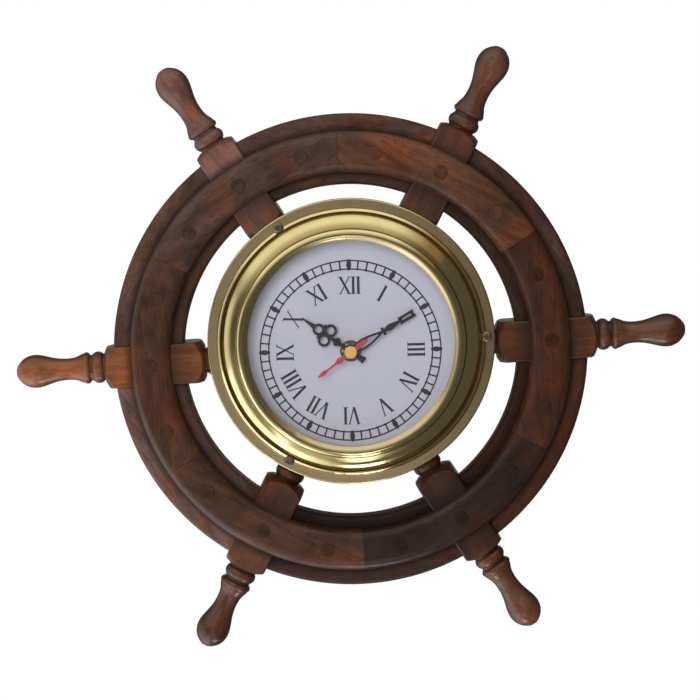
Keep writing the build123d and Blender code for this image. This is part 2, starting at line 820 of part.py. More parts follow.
# Inner bezel ring, which holds the glass
with BuildPart() as bezel_ring:
    with BuildSketch(radial(0, case_centre, case_back)):
        with BuildLine():
            wall = bore_radius - press_gap
            Polyline(
                (wall, ledge_height),
                (wall, ring_shoulder_height),
                (wall - ring_bevel, ring_shoulder_height + ring_bevel),
            )
            ThreePointArc(
                (wall - ring_bevel, ring_shoulder_height + ring_bevel),
                (bead_crest_radius, bead_height),
                (bead_inner, bead_drop),
            )
            Polyline(
                (bead_inner, bead_drop),
                (lip_radius, lip_height),
                (lip_radius, rebate_height),
                (rebate_radius, rebate_height),
                (rebate_radius, ledge_height),
                (wall, ledge_height),
            )
        make_face()
    revolve(axis=case_axis)
save(bezel_ring, "bezel_ring")

glass_front = case_back + rebate_height
with BuildPart() as glass:
    rod((glass_front - glass_depth, glass_front), rebate_radius - press_gap, [case_centre], face)
save(glass, "glass")

with BuildPart() as gasket:
    gasket_layer = (case_back + ledge_height, glass_front - glass_depth)
    rod(gasket_layer, rebate_radius - press_gap, [case_centre], face)
    rod(gasket_layer, rebate_radius - gasket_width, [case_centre], face, Mode.SUBTRACT)
save(gasket, "gasket")

with BuildPart() as bezel_screws:
    rod((seat, seat + case_head_depth), case_head_radius, screw_points, face)
    fillet(
        bezel_screws.edges().filter_by(GeomType.CIRCLE).sort_by(Axis.Y)[:case_screw_count],
        case_head_round,
    )
    rod((seat - case_shank_length, seat), case_shank_radius, screw_points, face)
    drive(seat + case_head_depth, case_drive_depth, case_drive_length, case_drive_width, screw_points)
save(bezel_screws, "bezel_screws")

# Positions and tooth angles of the wheel train
third_distance = distance(second_pinion_teeth, third_teeth, third_module)
third_centre = polar(third_distance, third_bearing_turn)
intermediate_distance = distance(intermediate_pinion_teeth, second_teeth, second_module)
intermediate_centre = polar(intermediate_distance, intermediate_bearing_turn)
rotor_distance = distance(rotor_teeth, intermediate_teeth, rotor_module)
rotor_centre = shifted(intermediate_centre, rotor_distance, rotor_bearing_turn)
motion_centre = polar(distance(cannon_teeth, motion_teeth, motion_module), motion_bearing_turn)
knob_distance = distance(motion_teeth, knob_teeth, motion_module)
knob_centre = shifted(motion_centre, knob_distance, knob_bearing_turn)
intermediate_phase = meshed(0, rotor_teeth, intermediate_teeth, rotor_bearing_turn + half_turn)
second_phase = meshed(0, intermediate_pinion_teeth, second_teeth, intermediate_bearing_turn + half_turn)
third_phase = meshed(0, second_pinion_teeth, third_teeth, third_bearing_turn)
centre_phase = meshed(0, third_pinion_teeth, centre_teeth, third_bearing_turn + half_turn)
motion_phase = meshed(0, cannon_teeth, motion_teeth, motion_bearing_turn)
hour_phase = meshed(0, motion_pinion_teeth, hour_teeth, motion_bearing_turn + half_turn)
knob_phase = meshed(motion_phase, motion_teeth, knob_teeth, knob_bearing_turn)

# Movement case, front half with the threaded bush
with BuildPart() as front_case:
    outer_layer = (movement_split, movement_depth)
    room_layer = (movement_split, movement_roof)
    bush_layer = (movement_roof, movement_depth + bush_rise)
    inner_corner = movement_corner - movement_wall
    slab(outer_layer, movement_side, movement_side, corner=movement_corner, upright=works)
    slab(
        room_layer, movement_inside, movement_inside, corner=inner_corner, upright=works, mode=Mode.SUBTRACT
    )
    rod(bush_layer, bush_radius, upright=works)
    rod((third_post_end, movement_roof), post_radius, [third_centre], works)
    rod((motion_post_end, movement_roof), motion_post_radius, [motion_centre], works)
    rod(bush_layer, bush_bore, upright=works, mode=Mode.SUBTRACT)
save(front_case, "front_case")

# Movement case, back half with the battery bay
bay_centre = (0, -battery_low)
bay_wall_centre = (0, -bay_top - bay_wall / 2)
bay_wall_layer = (movement_wall, movement_roof - glue_gap)
with BuildPart() as back_case:
    room_layer = (movement_wall, movement_split)
    floor_layer = (0, movement_wall)
    boss_end = movement_wall + pivot_boss_depth
    slab((0, movement_split), movement_side, movement_side, corner=movement_corner, upright=works)
    slab(
        room_layer, movement_inside, movement_inside, corner=inner_corner, upright=works, mode=Mode.SUBTRACT
    )
    slab(bay_wall_layer, movement_inside - 2 * glue_gap, bay_wall, bay_wall_centre, upright=works)
    slab(floor_layer, bay_length, bay_height, bay_centre, upright=works, mode=Mode.SUBTRACT)
    rod((movement_wall, intermediate_post_end), post_radius, [intermediate_centre], works)
    rod((movement_wall, rotor_post_end), post_radius, [rotor_centre], works)
    rod((movement_wall, stator_back), stator_post_radius, stator_post_points, works)
    rod((movement_wall, boss_end), pivot_boss_radius, upright=works)
    pivot_layer = (second_arbor_back - glue_gap, boss_end)
    rod(pivot_layer, second_arbor_radius + run_gap, upright=works, mode=Mode.SUBTRACT)
    rod(floor_layer, knob_arbor_radius + run_gap, [knob_centre], works, Mode.SUBTRACT)
save(back_case, "back_case")

with BuildPart() as washer:
    rod((case_back, case_back + washer_depth), washer_radius)
    rod((case_back, case_back + washer_depth), dial_hole, mode=Mode.SUBTRACT)
save(washer, "washer")

nut_back = case_back + washer_depth
with BuildPart() as fixing_nut:
    with BuildSketch(clock(nut_back)):
        RegularPolygon(nut_flats_radius, nut_sides, major_radius=False)
        Circle(bush_radius + glue_gap, mode=Mode.SUBTRACT)
    extrude(amount=nut_depth)
save(fixing_nut, "fixing_nut")

# Battery and contacts
battery_x = battery_length / 2
battery_plane = Plane(
    origin=works(battery_axis).from_local_coords(Vector(-battery_x, -battery_low, 0)),
    x_dir=clock(0).z_dir,
    z_dir=clock(0).x_dir,
)
with BuildPart() as battery:
    with BuildSketch(battery_plane):
        Circle(battery_radius)
    extrude(amount=battery_length)
    fillet(battery.edges().filter_by(GeomType.CIRCLE), battery_round)
    with BuildSketch(battery_plane):
        Circle(battery_nub_radius)
    extrude(amount=battery_length + battery_nub_length)
save(battery, "battery")

contact_x = movement_inside / 2 - contact_thickness
with BuildPart() as battery_contacts:
    contact_layer = (battery_axis - contact_height / 2, battery_axis + contact_height / 2)
    for side in (-1, 1):
        plate_centre = (side * (contact_x + contact_thickness / 2), -battery_low)
        slab(contact_layer, contact_thickness, contact_width, plate_centre, upright=works)
    with BuildSketch(battery_plane.offset(battery_x - contact_x)):
        Circle(contact_spring_radius)
    with BuildSketch(battery_plane):
        Circle(contact_tip_radius)
    loft()
    with BuildSketch(battery_plane.offset(battery_length + battery_nub_length)):
        Circle(contact_tip_radius)
    extrude(amount=contact_x - battery_x - battery_nub_length)
save(battery_contacts, "battery_contacts")

# Circuit board with chip and crystal
board_front = movement_wall + board_thickness
with BuildPart() as circuit_board:
    slab((movement_wall, board_front), board_width, board_height, board_centre, upright=works)
save(circuit_board, "circuit_board")

with BuildPart() as chip:
    chip_layer = (board_front, board_front + chip_height)
    slab(chip_layer, chip_side, chip_side, chip_centre, upright=works)
save(chip, "chip")

crystal_left = crystal_centre[0] - crystal_length / 2
crystal_place = Vector(crystal_left, crystal_centre[1], board_front + crystal_radius)
crystal_plane = Plane(
    origin=works(0).from_local_coords(crystal_place), x_dir=clock(0).z_dir, z_dir=clock(0).x_dir
)
with BuildPart() as crystal:
    with BuildSketch(crystal_plane):
        Circle(crystal_radius)
    extrude(amount=crystal_length)
save(crystal, "crystal")

# Stator plate with its core bar, and the coil around the bar
stator_layer = (stator_back, stator_back + stator_depth)
stator_width = stator_right - stator_left
stator_mid = (stator_left + stator_right) / 2
coil_low = core_low - coil_gap
coil_high = core_high + coil_gap
window_width = stator_width - 2 * stator_leg
with BuildPart() as stator:
    yoke_centre = (stator_mid, (stator_low + stator_top) / 2)
    slab(stator_layer, stator_width, stator_top - stator_low, yoke_centre, upright=works)
    lower_window = (stator_mid, (stator_yoke + core_low) / 2)
    lower_height = core_low - stator_yoke
    slab(
        stator_layer, window_width, lower_height, lower_window, upright=works, mode=Mode.SUBTRACT
    )
    upper_window = (stator_mid, (core_high + stator_top + overrun) / 2)
    upper_height = stator_top + overrun - core_high
    slab(
        stator_layer, window_width, upper_height, upper_window, upright=works, mode=Mode.SUBTRACT
    )
    rod(stator_layer, rotor_hole, [rotor_centre], works, Mode.SUBTRACT)
save(stator, "stator")

coil_length = window_width - 2 * coil_gap
coil_axis = stator_back + stator_depth / 2
coil_place = Vector(stator_mid - coil_length / 2, (core_low + core_high) / 2, coil_axis)
coil_plane = Plane(
    origin=works(0).from_local_coords(coil_place), x_dir=clock(0).z_dir, z_dir=clock(0).x_dir
)
with BuildPart() as coil:
    with BuildSketch(coil_plane):
        Circle(coil_radius)
    extrude(amount=coil_length)
    with BuildSketch(coil_plane, coil_plane.offset(coil_length - coil_flange)):
        Circle(coil_flange_radius)
    extrude(amount=coil_flange)
    with BuildSketch(coil_plane):
        Rectangle(stator_depth + 2 * coil_gap, coil_high - coil_low)
    extrude(amount=coil_length, mode=Mode.SUBTRACT)
save(coil, "coil")

# Running train: rotor, intermediate, second, third and centre wheels
with BuildPart() as rotor:
    gear(rotor_pinion_layer, rotor_teeth, rotor_module, 0, rotor_centre)
    rod(rotor_neck_layer, rotor_neck_radius, [rotor_centre], works)
    rod(rotor_magnet_layer, rotor_magnet_radius, [rotor_centre], works)
    bore_layer = (rotor_pinion_layer[0], rotor_magnet_layer[1])
    rod(bore_layer, post_radius + run_gap, [rotor_centre], works, Mode.SUBTRACT)
save(rotor, "rotor")

with BuildPart() as intermediate_wheel:
    gear(intermediate_layer, intermediate_teeth, rotor_module, intermediate_phase, intermediate_centre)
    rod(intermediate_neck_layer, train_neck_radius, [intermediate_centre], works)
    gear(intermediate_pinion_layer, intermediate_pinion_teeth, second_module, 0, intermediate_centre)
    bore_layer = (intermediate_layer[0], intermediate_pinion_layer[1])
    rod(bore_layer, post_radius + run_gap, [intermediate_centre], works, Mode.SUBTRACT)
save(intermediate_wheel, "intermediate_wheel")

with BuildPart() as second_wheel:
    rod(second_arbor_layer, second_arbor_radius, upright=works)
    rod(second_neck_layer, train_neck_radius, upright=works)
    gear(second_layer, second_teeth, second_module, second_phase)
    gear(second_pinion_layer, second_pinion_teeth, third_module)
save(second_wheel, "second_wheel")

with BuildPart() as third_wheel:
    gear(third_layer, third_teeth, third_module, third_phase, third_centre)
    rod(third_neck_layer, train_neck_radius, [third_centre], works)
    gear(third_pinion_layer, third_pinion_teeth, centre_module, 0, third_centre)
    bore_layer = (third_layer[0], third_pinion_layer[1])
    rod(bore_layer, post_radius + run_gap, [third_centre], works, Mode.SUBTRACT)
save(third_wheel, "third_wheel")

with BuildPart() as centre_gear:
    gear(centre_layer, centre_teeth, centre_module, centre_phase)
    rod(centre_layer, minute_radius + run_gap, upright=works, mode=Mode.SUBTRACT)
save(centre_gear, "centre_gear")

# Motion work: minute arbor, motion wheel, hour wheel and setting knob
with BuildPart() as minute_arbor:
    rod(minute_layer, minute_radius, upright=works)
    gear(cannon_layer, cannon_teeth, motion_module)
    rod(minute_layer, minute_bore, upright=works, mode=Mode.SUBTRACT)
save(minute_arbor, "minute_arbor")

with BuildPart() as motion_wheel:
    gear(motion_layer, motion_teeth, motion_module, motion_phase, motion_centre)
    rod(motion_neck_layer, motion_neck_radius, [motion_centre], works)
    gear(motion_pinion_layer, motion_pinion_teeth, hour_module, 0, motion_centre)
    bore_layer = (motion_layer[0], motion_pinion_layer[1])
    rod(bore_layer, motion_post_radius + run_gap, [motion_centre], works, Mode.SUBTRACT)
save(motion_wheel, "motion_wheel")

with BuildPart() as hour_wheel:
    gear(hour_layer, hour_teeth, hour_module, hour_phase)
    rod(hour_pipe_layer, hour_radius, upright=works)
    rod(hour_pipe_layer, hour_bore, upright=works, mode=Mode.SUBTRACT)
save(hour_wheel, "hour_wheel")

with BuildPart() as setting_knob:
    gear(knob_layer, knob_grip_teeth, knob_grip_module, 0, knob_centre)
    rod(knob_arbor_layer, knob_arbor_radius, [knob_centre], works)
    gear(knob_pinion_layer, knob_teeth, motion_module, knob_phase, knob_centre)
save(setting_knob, "setting_knob")

# Hands
with BuildPart() as hour_hand:
    with BuildSketch(clock(hour_back, -hour_angle)):
        Circle(hour_boss_share * hour_length)
        for shares in (
            hour_tail_shares, hour_stem_shares, hour_knob_shares, hour_nib_shares, hour_spear_shares
        ):
            Polygon(*blade(shares, hour_length), align=None)
        ring_along, ring_out = hour_side_ring_shares
        side_points = [(side * ring_out * hour_length, ring_along * hour_length) for side in (-1, 1)]
        front_point = (0, hour_front_ring_shares[0] * hour_length)
        side_outer, side_inner = hour_side_ring_radius_shares
        front_outer, front_inner = hour_front_ring_radius_shares
        with Locations(*side_points):
            Circle(side_outer * hour_length)
        with Locations(front_point):
            Circle(front_outer * hour_length)
        with Locations(*side_points):
            Circle(side_inner * hour_length, mode=Mode.SUBTRACT)
        with Locations(front_point):
            Circle(front_inner * hour_length, mode=Mode.SUBTRACT)
        Circle(hour_radius + hand_fit, mode=Mode.SUBTRACT)
    extrude(amount=hand_depth)
save(hour_hand, "hour_hand")

with BuildPart() as minute_hand:
    with BuildSketch(clock(minute_back, -minute_angle)):
        Polygon(*blade(minute_loop_shares, minute_length), align=None)
        Polygon(*blade(minute_eye_shares, minute_length), align=None, mode=Mode.SUBTRACT)
        Circle(minute_boss_share * minute_length)
        for shares in (minute_nib_shares, minute_leaf_shares, minute_baton_shares):
            Polygon(*blade(shares, minute_length), align=None)
        Polygon(*blade(minute_slot_shares, minute_length), align=None, mode=Mode.SUBTRACT)
        Circle(minute_radius + hand_fit, mode=Mode.SUBTRACT)
    extrude(amount=hand_depth)
save(minute_hand, "minute_hand")

with BuildPart() as cap_nut:
    rod((cap_back, cap_back + cap_depth), cap_radius)
    fillet(cap_nut.edges().group_by(Axis.Y)[0], cap_round)
    rod((cap_back, minute_arbor_end + glue_gap), minute_radius + hand_fit, mode=Mode.SUBTRACT)
    rod((cap_back, cap_back + cap_depth), second_arbor_radius + run_gap, mode=Mode.SUBTRACT)
save(cap_nut, "cap_nut")

with BuildPart() as second_hand:
    with BuildSketch(clock(second_back, -second_angle)):
        Polygon(*blade(second_hand_shares, second_hand_length), align=None)
        Circle(second_boss_share * second_hand_length)
        Circle(second_arbor_radius + hand_fit, mode=Mode.SUBTRACT)
    extrude(amount=hand_depth)
save(second_hand, "second_hand")

with BuildPart() as second_cap:
    rod((second_cap_back, second_cap_back + second_cap_depth), second_cap_radius)
    fillet(second_cap.edges().group_by(Axis.Y)[0], second_cap_round)
    rod((second_cap_back, second_arbor_end + glue_gap), second_arbor_radius + hand_fit, mode=Mode.SUBTRACT)
save(second_cap, "second_cap")
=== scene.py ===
"""Looks of a ship's-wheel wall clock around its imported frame: finishes, dial print, light and camera."""

import logging
import math
from dataclasses import dataclass, replace
from enum import Enum
from typing import Any, Optional, Sequence, Union

import bpy
import numpy as np
from mathutils import Matrix, Vector


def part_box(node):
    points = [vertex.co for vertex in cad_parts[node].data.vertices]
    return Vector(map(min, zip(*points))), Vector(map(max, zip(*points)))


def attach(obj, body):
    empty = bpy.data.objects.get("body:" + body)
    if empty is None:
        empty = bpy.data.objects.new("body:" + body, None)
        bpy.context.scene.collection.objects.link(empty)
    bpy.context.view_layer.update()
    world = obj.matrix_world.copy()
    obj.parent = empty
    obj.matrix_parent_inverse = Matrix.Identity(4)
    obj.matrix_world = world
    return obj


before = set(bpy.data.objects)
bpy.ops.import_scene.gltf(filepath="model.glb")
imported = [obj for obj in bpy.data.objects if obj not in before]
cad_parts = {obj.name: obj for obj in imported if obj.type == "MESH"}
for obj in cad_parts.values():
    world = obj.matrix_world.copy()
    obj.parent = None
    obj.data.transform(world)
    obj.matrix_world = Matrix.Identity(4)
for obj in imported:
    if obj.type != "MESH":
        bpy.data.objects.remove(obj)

MM = 0.001
FULL_TURN = 2 * math.pi
HOURS = 12
MINUTES = 60
NOISE_MEAN = 0.5
Colour = tuple[float, float, float]
Point = tuple[float, float, float]
Span = tuple[float, float]
WHITE: Colour = (1.0, 1.0, 1.0)
log = logging.getLogger("wheel_clock")


class Signal:
    """A shader socket that takes part in Python sums; each sum on values adds one Math node."""

    def __init__(self, shader: "Shader", socket: Optional[bpy.types.NodeSocket]) -> None:
        """Keep the socket and the shader that it belongs to."""
        self.shader = shader
        self.socket = socket

    def _math(self, operation: str, first: "Value", second: "Value" = 0.0, clamp: bool = False) -> "Signal":
        """Add a Math node.

        Args:
            operation: The Math node's operation.
            first: Its first value.
            second: Its second value.
            clamp: Whether the result is kept between 0 and 1.

        Returns:
            The node's result.
        """
        settings = {"operation": operation, "use_clamp": clamp}
        return self.shader.node("ShaderNodeMath", settings, {0: first, 1: second})

    def __add__(self, other: "Value") -> "Signal":
        """This value plus another."""
        return self._math("ADD", self, other)

    def __sub__(self, other: "Value") -> "Signal":
        """This value less another."""
        return self._math("SUBTRACT", self, other)

    def __rsub__(self, other: "Value") -> "Signal":
        """Another value less this one."""
        return self._math("SUBTRACT", other, self)

    def __mul__(self, other: "Value") -> "Signal":
        """This value times another."""
        return self._math("MULTIPLY", self, other)

    def __truediv__(self, other: "Value") -> "Signal":
        """This value divided by another."""
        return self._math("DIVIDE", self, other)

    def __pow__(self, other: "Value") -> "Signal":
        """This value to a power."""
        return self._math("POWER", self, other)

    __radd__ = __add__
    __rmul__ = __mul__

    def most(self, other: "Value") -> "Signal":
        """The larger of two values."""
        return self._math("MAXIMUM", self, other)

    def size(self) -> "Signal":
        """This value without its sign."""
        return self.most(self * -1.0)

    def turns(self, across: "Value") -> "Signal":
        """The share of a full turn at which this height and a distance across lie, from 0 to 1."""
        return self.shader.fraction(self._math("ARCTAN2", self, across) / FULL_TURN + 1.0)

    def held(self) -> "Signal":
        """This value kept between 0 and 1."""
        return self._math("ADD", self, 0.0, clamp=True)

    def smooth(self, low: float, high: float) -> "Signal":
        """Rise smoothly from 0 to 1 between two values.

        Args:
            low: The value at which the result leaves 0.
            high: The value at which the result reaches 1.

        Returns:
            The smooth step.
        """
        settings = {"interpolation_type": "SMOOTHSTEP"}
        sockets = {"Value": self, "From Min": low, "From Max": high, "To Min": 0.0, "To Max": 1.0}
        return self.shader.node("ShaderNodeMapRange", settings, sockets)


Value = Union[float, Signal]
Tint = Union[Colour, Signal]


class Shader:
    """A node tree under construction, for a material or for the world."""

    def __init__(self, owner: Union[bpy.types.Material, bpy.types.World]) -> None:
        """Empty the owner's node tree and keep it."""
        owner.use_nodes = True
        self.owner = owner
        self.tree = owner.node_tree
        self.tree.nodes.clear()

    def node(
        self,
        kind: str,
        settings: Optional[dict[str, Any]] = None,
        sockets: Optional[dict[Union[str, int], Any]] = None,
        output: Union[str, int] = 0,
    ) -> Signal:
        """Add a node.

        Args:
            kind: The node's type.
            settings: Its properties, set first; "stops" gives a ramp's places and colours, "steps" its blend.
            sockets: Values or signals for its inputs.
            output: The output to return.

        Returns:
            The chosen output.
        """
        made = self.tree.nodes.new(kind)
        for key, value in (settings or {}).items():
            if key == "stops":
                elements = made.color_ramp.elements
                while len(elements) < len(value):
                    elements.new(1.0)
                for element, (place, colour) in zip(elements, value):
                    element.position = place
                    element.color = (*colour, 1.0)
            elif key == "steps":
                made.color_ramp.interpolation = value
            else:
                setattr(made, key, value)
        for key, value in (sockets or {}).items():
            target = made.inputs[key]
            if isinstance(value, Signal):
                self.tree.links.new(value.socket, target)
            elif target.type == "RGBA":
                target.default_value = (*value, 1.0)
            else:
                target.default_value = value
        return Signal(self, made.outputs[output] if made.outputs else None)

    def place(self, turn: float = 0.0, shift: Point = (0.0, 0.0, 0.0)) -> Signal:
        """Object coordinates turned about the depth axis and then shifted, in metres.

        Args:
            turn: The angle in degrees of the direction that becomes the first axis.
            shift: What is added after the turn.

        Returns:
            The coordinates as a vector.
        """
        raw = self.node("ShaderNodeTexCoord", output="Object")
        sockets = {"Vector": raw, "Rotation": (0.0, math.radians(turn), 0.0), "Location": shift}
        return self.node("ShaderNodeMapping", {"vector_type": "POINT"}, sockets)

    def stretch(self, vector: Signal, scales: Point) -> Signal:
        """A vector with each axis multiplied by its own number."""
        return self.node("ShaderNodeVectorMath", {"operation": "MULTIPLY"}, {0: vector, 1: scales})

    def join(self, x: Value, y: Value, z: Value) -> Signal:
        """Three values as one vector."""
        return self.node("ShaderNodeCombineXYZ", None, {0: x, 1: y, 2: z})

    def parts(self, vector: Signal) -> tuple[Signal, Signal, Signal]:
        """The three values of a vector."""
        split = self.node("ShaderNodeSeparateXYZ", None, {0: vector}).socket.node
        return tuple(Signal(self, split.outputs[axis]) for axis in range(3))

    def noise(self, vector: Signal, scale: float = 1.0, detail: float = 2.0, rough: float = 0.5) -> Signal:
        """Smooth noise between 0 and 1.

        Args:
            vector: Where it is read.
            scale: Its frequency.
            detail: How many finer layers are added.
            rough: How strong the finer layers are.

        Returns:
            The noise.
        """
        sockets = {"Vector": vector, "Scale": scale, "Detail": detail, "Roughness": rough}
        return self.node("ShaderNodeTexNoise", {"noise_dimensions": "3D"}, sockets, "Fac")

    def fraction(self, value: Signal) -> Signal:
        """What is left of a value after its whole turns."""
        return self.node("ShaderNodeMath", {"operation": "FRACT"}, {0: value})

    def mix(self, share: Value, first: Tint, second: Tint, kind: str = "MIX") -> Signal:
        """A blend of two colours.

        Args:
            share: How much of the second colour is used.
            first: The first colour.
            second: The second colour.
            kind: The blend type.

        Returns:
            The blended colour.
        """
        settings = {"data_type": "RGBA", "blend_type": kind}
        return self.node("ShaderNodeMix", settings, {0: share, 6: first, 7: second}, 2)

    def ramp(self, value: Signal, stops: Sequence[tuple[float, Colour]], steps: str = "LINEAR") -> Signal:
        """A value turned into a colour by a row of stops, blended or in plain steps."""
        return self.node("ShaderNodeValToRGB", {"stops": stops, "steps": steps}, {0: value}, "Color")

    def bump(self, height: Signal, depth: float, strength: float) -> Signal:
        """A normal tilted by a height.

        Args:
            height: The height, in units of depth.
            depth: The height of 1, in metres.
            strength: How much of the tilt is used.

        Returns:
            The normal.
        """
        sockets = {"Height": height, "Distance": depth, "Strength": strength}
        return self.node("ShaderNodeBump", None, sockets)

    def surface(self, sockets: dict[str, Any]) -> Signal:
        """A Principled shader with the given inputs."""
        return self.node("ShaderNodeBsdfPrincipled", None, sockets)

    def finish(self, shader: Signal) -> Any:
        """Feed a shader to the output and give back the owner."""
        kind = "ShaderNodeOutputWorld" if isinstance(self.owner, bpy.types.World) else "ShaderNodeOutputMaterial"
        self.node(kind, None, {"Surface": shader})
        return self.owner


def new_shader(name: str) -> Shader:
    """A shader for a new material of that name."""
    return Shader(bpy.data.materials.new(name))


class Timber(Enum):
    """Mean colours of the sticks of rosewood that the wheel is made of."""

    HEART = (0.043, 0.014, 0.005)
    RED = (0.096, 0.036, 0.016)
    PLUM = (0.062, 0.030, 0.021)
    UMBER = (0.060, 0.023, 0.010)
    EBONY = (0.020, 0.009, 0.005)
    HONEY = (0.190, 0.064, 0.020)
    ROSE = (0.165, 0.073, 0.050)
    TAN = (0.125, 0.054, 0.029)
    ASH = (0.084, 0.042, 0.029)
    SLATE = (0.110, 0.060, 0.048)
    SMOKE = (0.032, 0.015, 0.011)


@dataclass(frozen=True)
class Rosewood:
    """Oiled rosewood with long streaks, mottled patches, short dark pores and a soft varnish.

    Scales are noise frequencies, along the grain, in depth and across it. Shares and shades say how much of a
    thing or of the timber's mean colour is used, edges are the noise values between which a thing comes in, and
    places, reaches and depths are in metres.
    """

    timber: Timber
    gloss: float = 0.46
    varnish: float = 0.06
    varnish_gloss: float = 0.14
    shine: float = 0.28
    dark: float = 0.40
    dark_cast: Colour = (0.96, 1.0, 1.06)
    light: float = 1.75
    light_cast: Colour = (1.06, 0.98, 0.90)
    shade_places: Point = (0.34, 0.50, 0.68)
    glow: Colour = (1.38, 0.98, 0.66)
    glow_edges: Span = (0.46, 0.68)
    glow_scale: float = 40.8
    bend_scales: Point = (6.0, 14.0, 14.0)
    bend_reach: float = 0.030
    band_scales: Point = (3.0, 46.0, 46.0)
    band_share: float = 0.34
    streak_scales: Point = (11.0, 270.0, 270.0)
    streak_share: float = 0.26
    streak_gloss: float = 0.18
    blotch_scale: float = 24.0
    blotch_share: float = 0.36
    mottle_scales: Point = (70.0, 130.0, 130.0)
    mottle_share: float = 0.38
    fibre_scales: Point = (45.0, 950.0, 950.0)
    fibre_share: float = 0.12
    fibre_height: float = 0.30
    figure_middle: float = 0.23
    vein_scales: Point = (5.0, 170.0, 170.0)
    vein_edges: Span = (0.56, 0.72)
    vein_share: float = 0.45
    vein_shade: float = 0.34
    vein_cast: Colour = (0.9, 1.0, 1.1)
    pore_scales: Point = (150.0, 1000.0, 1000.0)
    pore_edges: Span = (0.56, 0.70)
    pore_share: float = 0.50
    pore_shade: float = 0.22
    pore_gloss: float = 0.20
    pore_depth: float = 0.00012
    relief: float = 0.6
    worn: tuple[Span, ...] = ()
    worn_span: float = 0.25
    # Painted shade: at the front ring's edges, on a spoke's sides and in its turned grooves, the wood goes towards
    # this share of its colour.
    painted_shade: float = 0.16
    corners: tuple[Span, ...] = ()
    corner_shade_share: float = 0.92
    corner_shade_inset: float = -0.3
    axis: float = 0.0
    side_shade_share: float = 0.0
    side_shade_span: Span = (0.18, 0.97)
    grooves: tuple[Span, ...] = ()
    groove_shade_share: float = 0.75

    def calmed(self, share: float) -> "Rosewood":
        """The same wood with its veins, pores and mottle cut to a share, and its figure kept at the same mean."""
        lost = self.mottle_share * (1.0 - share) * NOISE_MEAN
        return replace(
            self,
            vein_share=self.vein_share * share,
            pore_share=self.pore_share * share,
            mottle_share=self.mottle_share * share,
            figure_middle=self.figure_middle - lost,
        )

    def tone(self, share: float, cast: Colour = WHITE) -> Colour:
        """The timber's mean colour times a share, with each channel warmed or cooled."""
        return tuple(channel * share * warmth for channel, warmth in zip(self.timber.value, cast))

    def worn_and_shaded(self, shader: Shader, tone: Signal, spot: tuple[Signal, Signal, Signal]) -> Signal:
        """Wear, and painted shade, on clean wood.

        Wear along the stick darkens or lightens it. Painted shade darkens the radii where another layer stands on
        the stick, its sides, where the way from its axis points little to the front or the back, and its turned
        grooves.

        Args:
            shader: The material under construction.
            tone: The colour of the clean wood.
            spot: The place along the stick, in depth and across it, from the wheel's centre.

        Returns:
            The worn and stained colour.
        """
        along, deep, across = spot
        if self.worn:
            stops = [(place / self.worn_span, (share,) * 3) for place, share in self.worn]
            tone = shader.mix(1.0, tone, shader.ramp(along / self.worn_span, stops), "MULTIPLY")
        radius = (along ** 2.0 + across ** 2.0) ** 0.5
        shade_masks = []
        # Painted shade next to the front ring's edges, where that ring's shadow falls on the stick.
        for corner, reach in self.corners:
            clear = (radius - corner).size().smooth(self.corner_shade_inset * reach, reach)
            shade_masks.append((1.0 - clear) * self.corner_shade_share)
        # Painted shade on a spoke's sides, darker the more its surface faces sideways.
        if self.side_shade_share:
            forward = self.axis - deep
            facing = forward / (across ** 2.0 + forward ** 2.0) ** 0.5
            shade_masks.append((1.0 - facing.size().smooth(*self.side_shade_span)) * self.side_shade_share)
        # Painted shade in a spoke's turned grooves.
        for groove, reach in self.grooves:
            clear = (along - groove).size().smooth(0.0, reach)
            shade_masks.append((1.0 - clear) * self.groove_shade_share)
        for shade_mask in shade_masks:
            tone = shader.mix(shade_mask, tone, self.tone(self.painted_shade))
        return tone

    def material(self, name: str, turn: float, shift: Point) -> bpy.types.Material:
        """Wood with its grain along one direction of the wheel's plane.

        The figure is a sum of bands, streaks and fibres stretched along the grain, which a slow noise bends
        sideways, and of two mottles. A ramp turns it into shades of the timber's mean colour. Slow patches glow
        warmer, and veins and pores, where stretched noises pass a threshold, are dark. Wear and painted shade come
        last.

        Args:
            name: The material's name.
            turn: The grain's angle in the wheel's plane, in degrees.
            shift: An offset that gives each stick its own figure, in metres.

        Returns:
            The material.
        """
        shader = new_shader(name)
        grain = shader.place(turn, shift)
        bend = shader.noise(shader.stretch(grain, self.bend_scales), detail=1.0)
        along, deep, across = shader.parts(grain)
        figured = shader.join(along, deep, across + bend * self.bend_reach)
        bands = shader.noise(shader.stretch(figured, self.band_scales), detail=4.0, rough=0.55)
        veins = shader.noise(shader.stretch(figured, self.vein_scales), detail=2.0).smooth(*self.vein_edges)
        streaks = shader.noise(shader.stretch(figured, self.streak_scales), detail=3.0, rough=0.6)
        fibres = shader.noise(shader.stretch(grain, self.fibre_scales), detail=2.0)
        pores = shader.noise(shader.stretch(grain, self.pore_scales), detail=1.0).smooth(*self.pore_edges)
        blotch = shader.noise(grain, self.blotch_scale, detail=3.0)
        mottle = shader.noise(shader.stretch(figured, self.mottle_scales), detail=4.0, rough=0.65)
        figure = bands * self.band_share + streaks * self.streak_share + blotch * self.blotch_share
        figure = (figure + mottle * self.mottle_share + fibres * self.fibre_share - self.figure_middle).held()
        shades = (self.tone(self.dark, self.dark_cast), self.tone(1.0), self.tone(self.light, self.light_cast))
        tone = shader.ramp(figure, tuple(zip(self.shade_places, shades)))
        patches = shader.noise(grain, self.glow_scale, detail=2.0).smooth(*self.glow_edges)
        tone = shader.mix(patches, tone, self.glow, "MULTIPLY")
        tone = shader.mix(veins * self.vein_share, tone, self.tone(self.vein_shade, self.vein_cast))
        tone = shader.mix(pores * self.pore_share, tone, self.tone(self.pore_shade))
        rough = self.gloss + (streaks - NOISE_MEAN) * self.streak_gloss + pores * self.pore_gloss
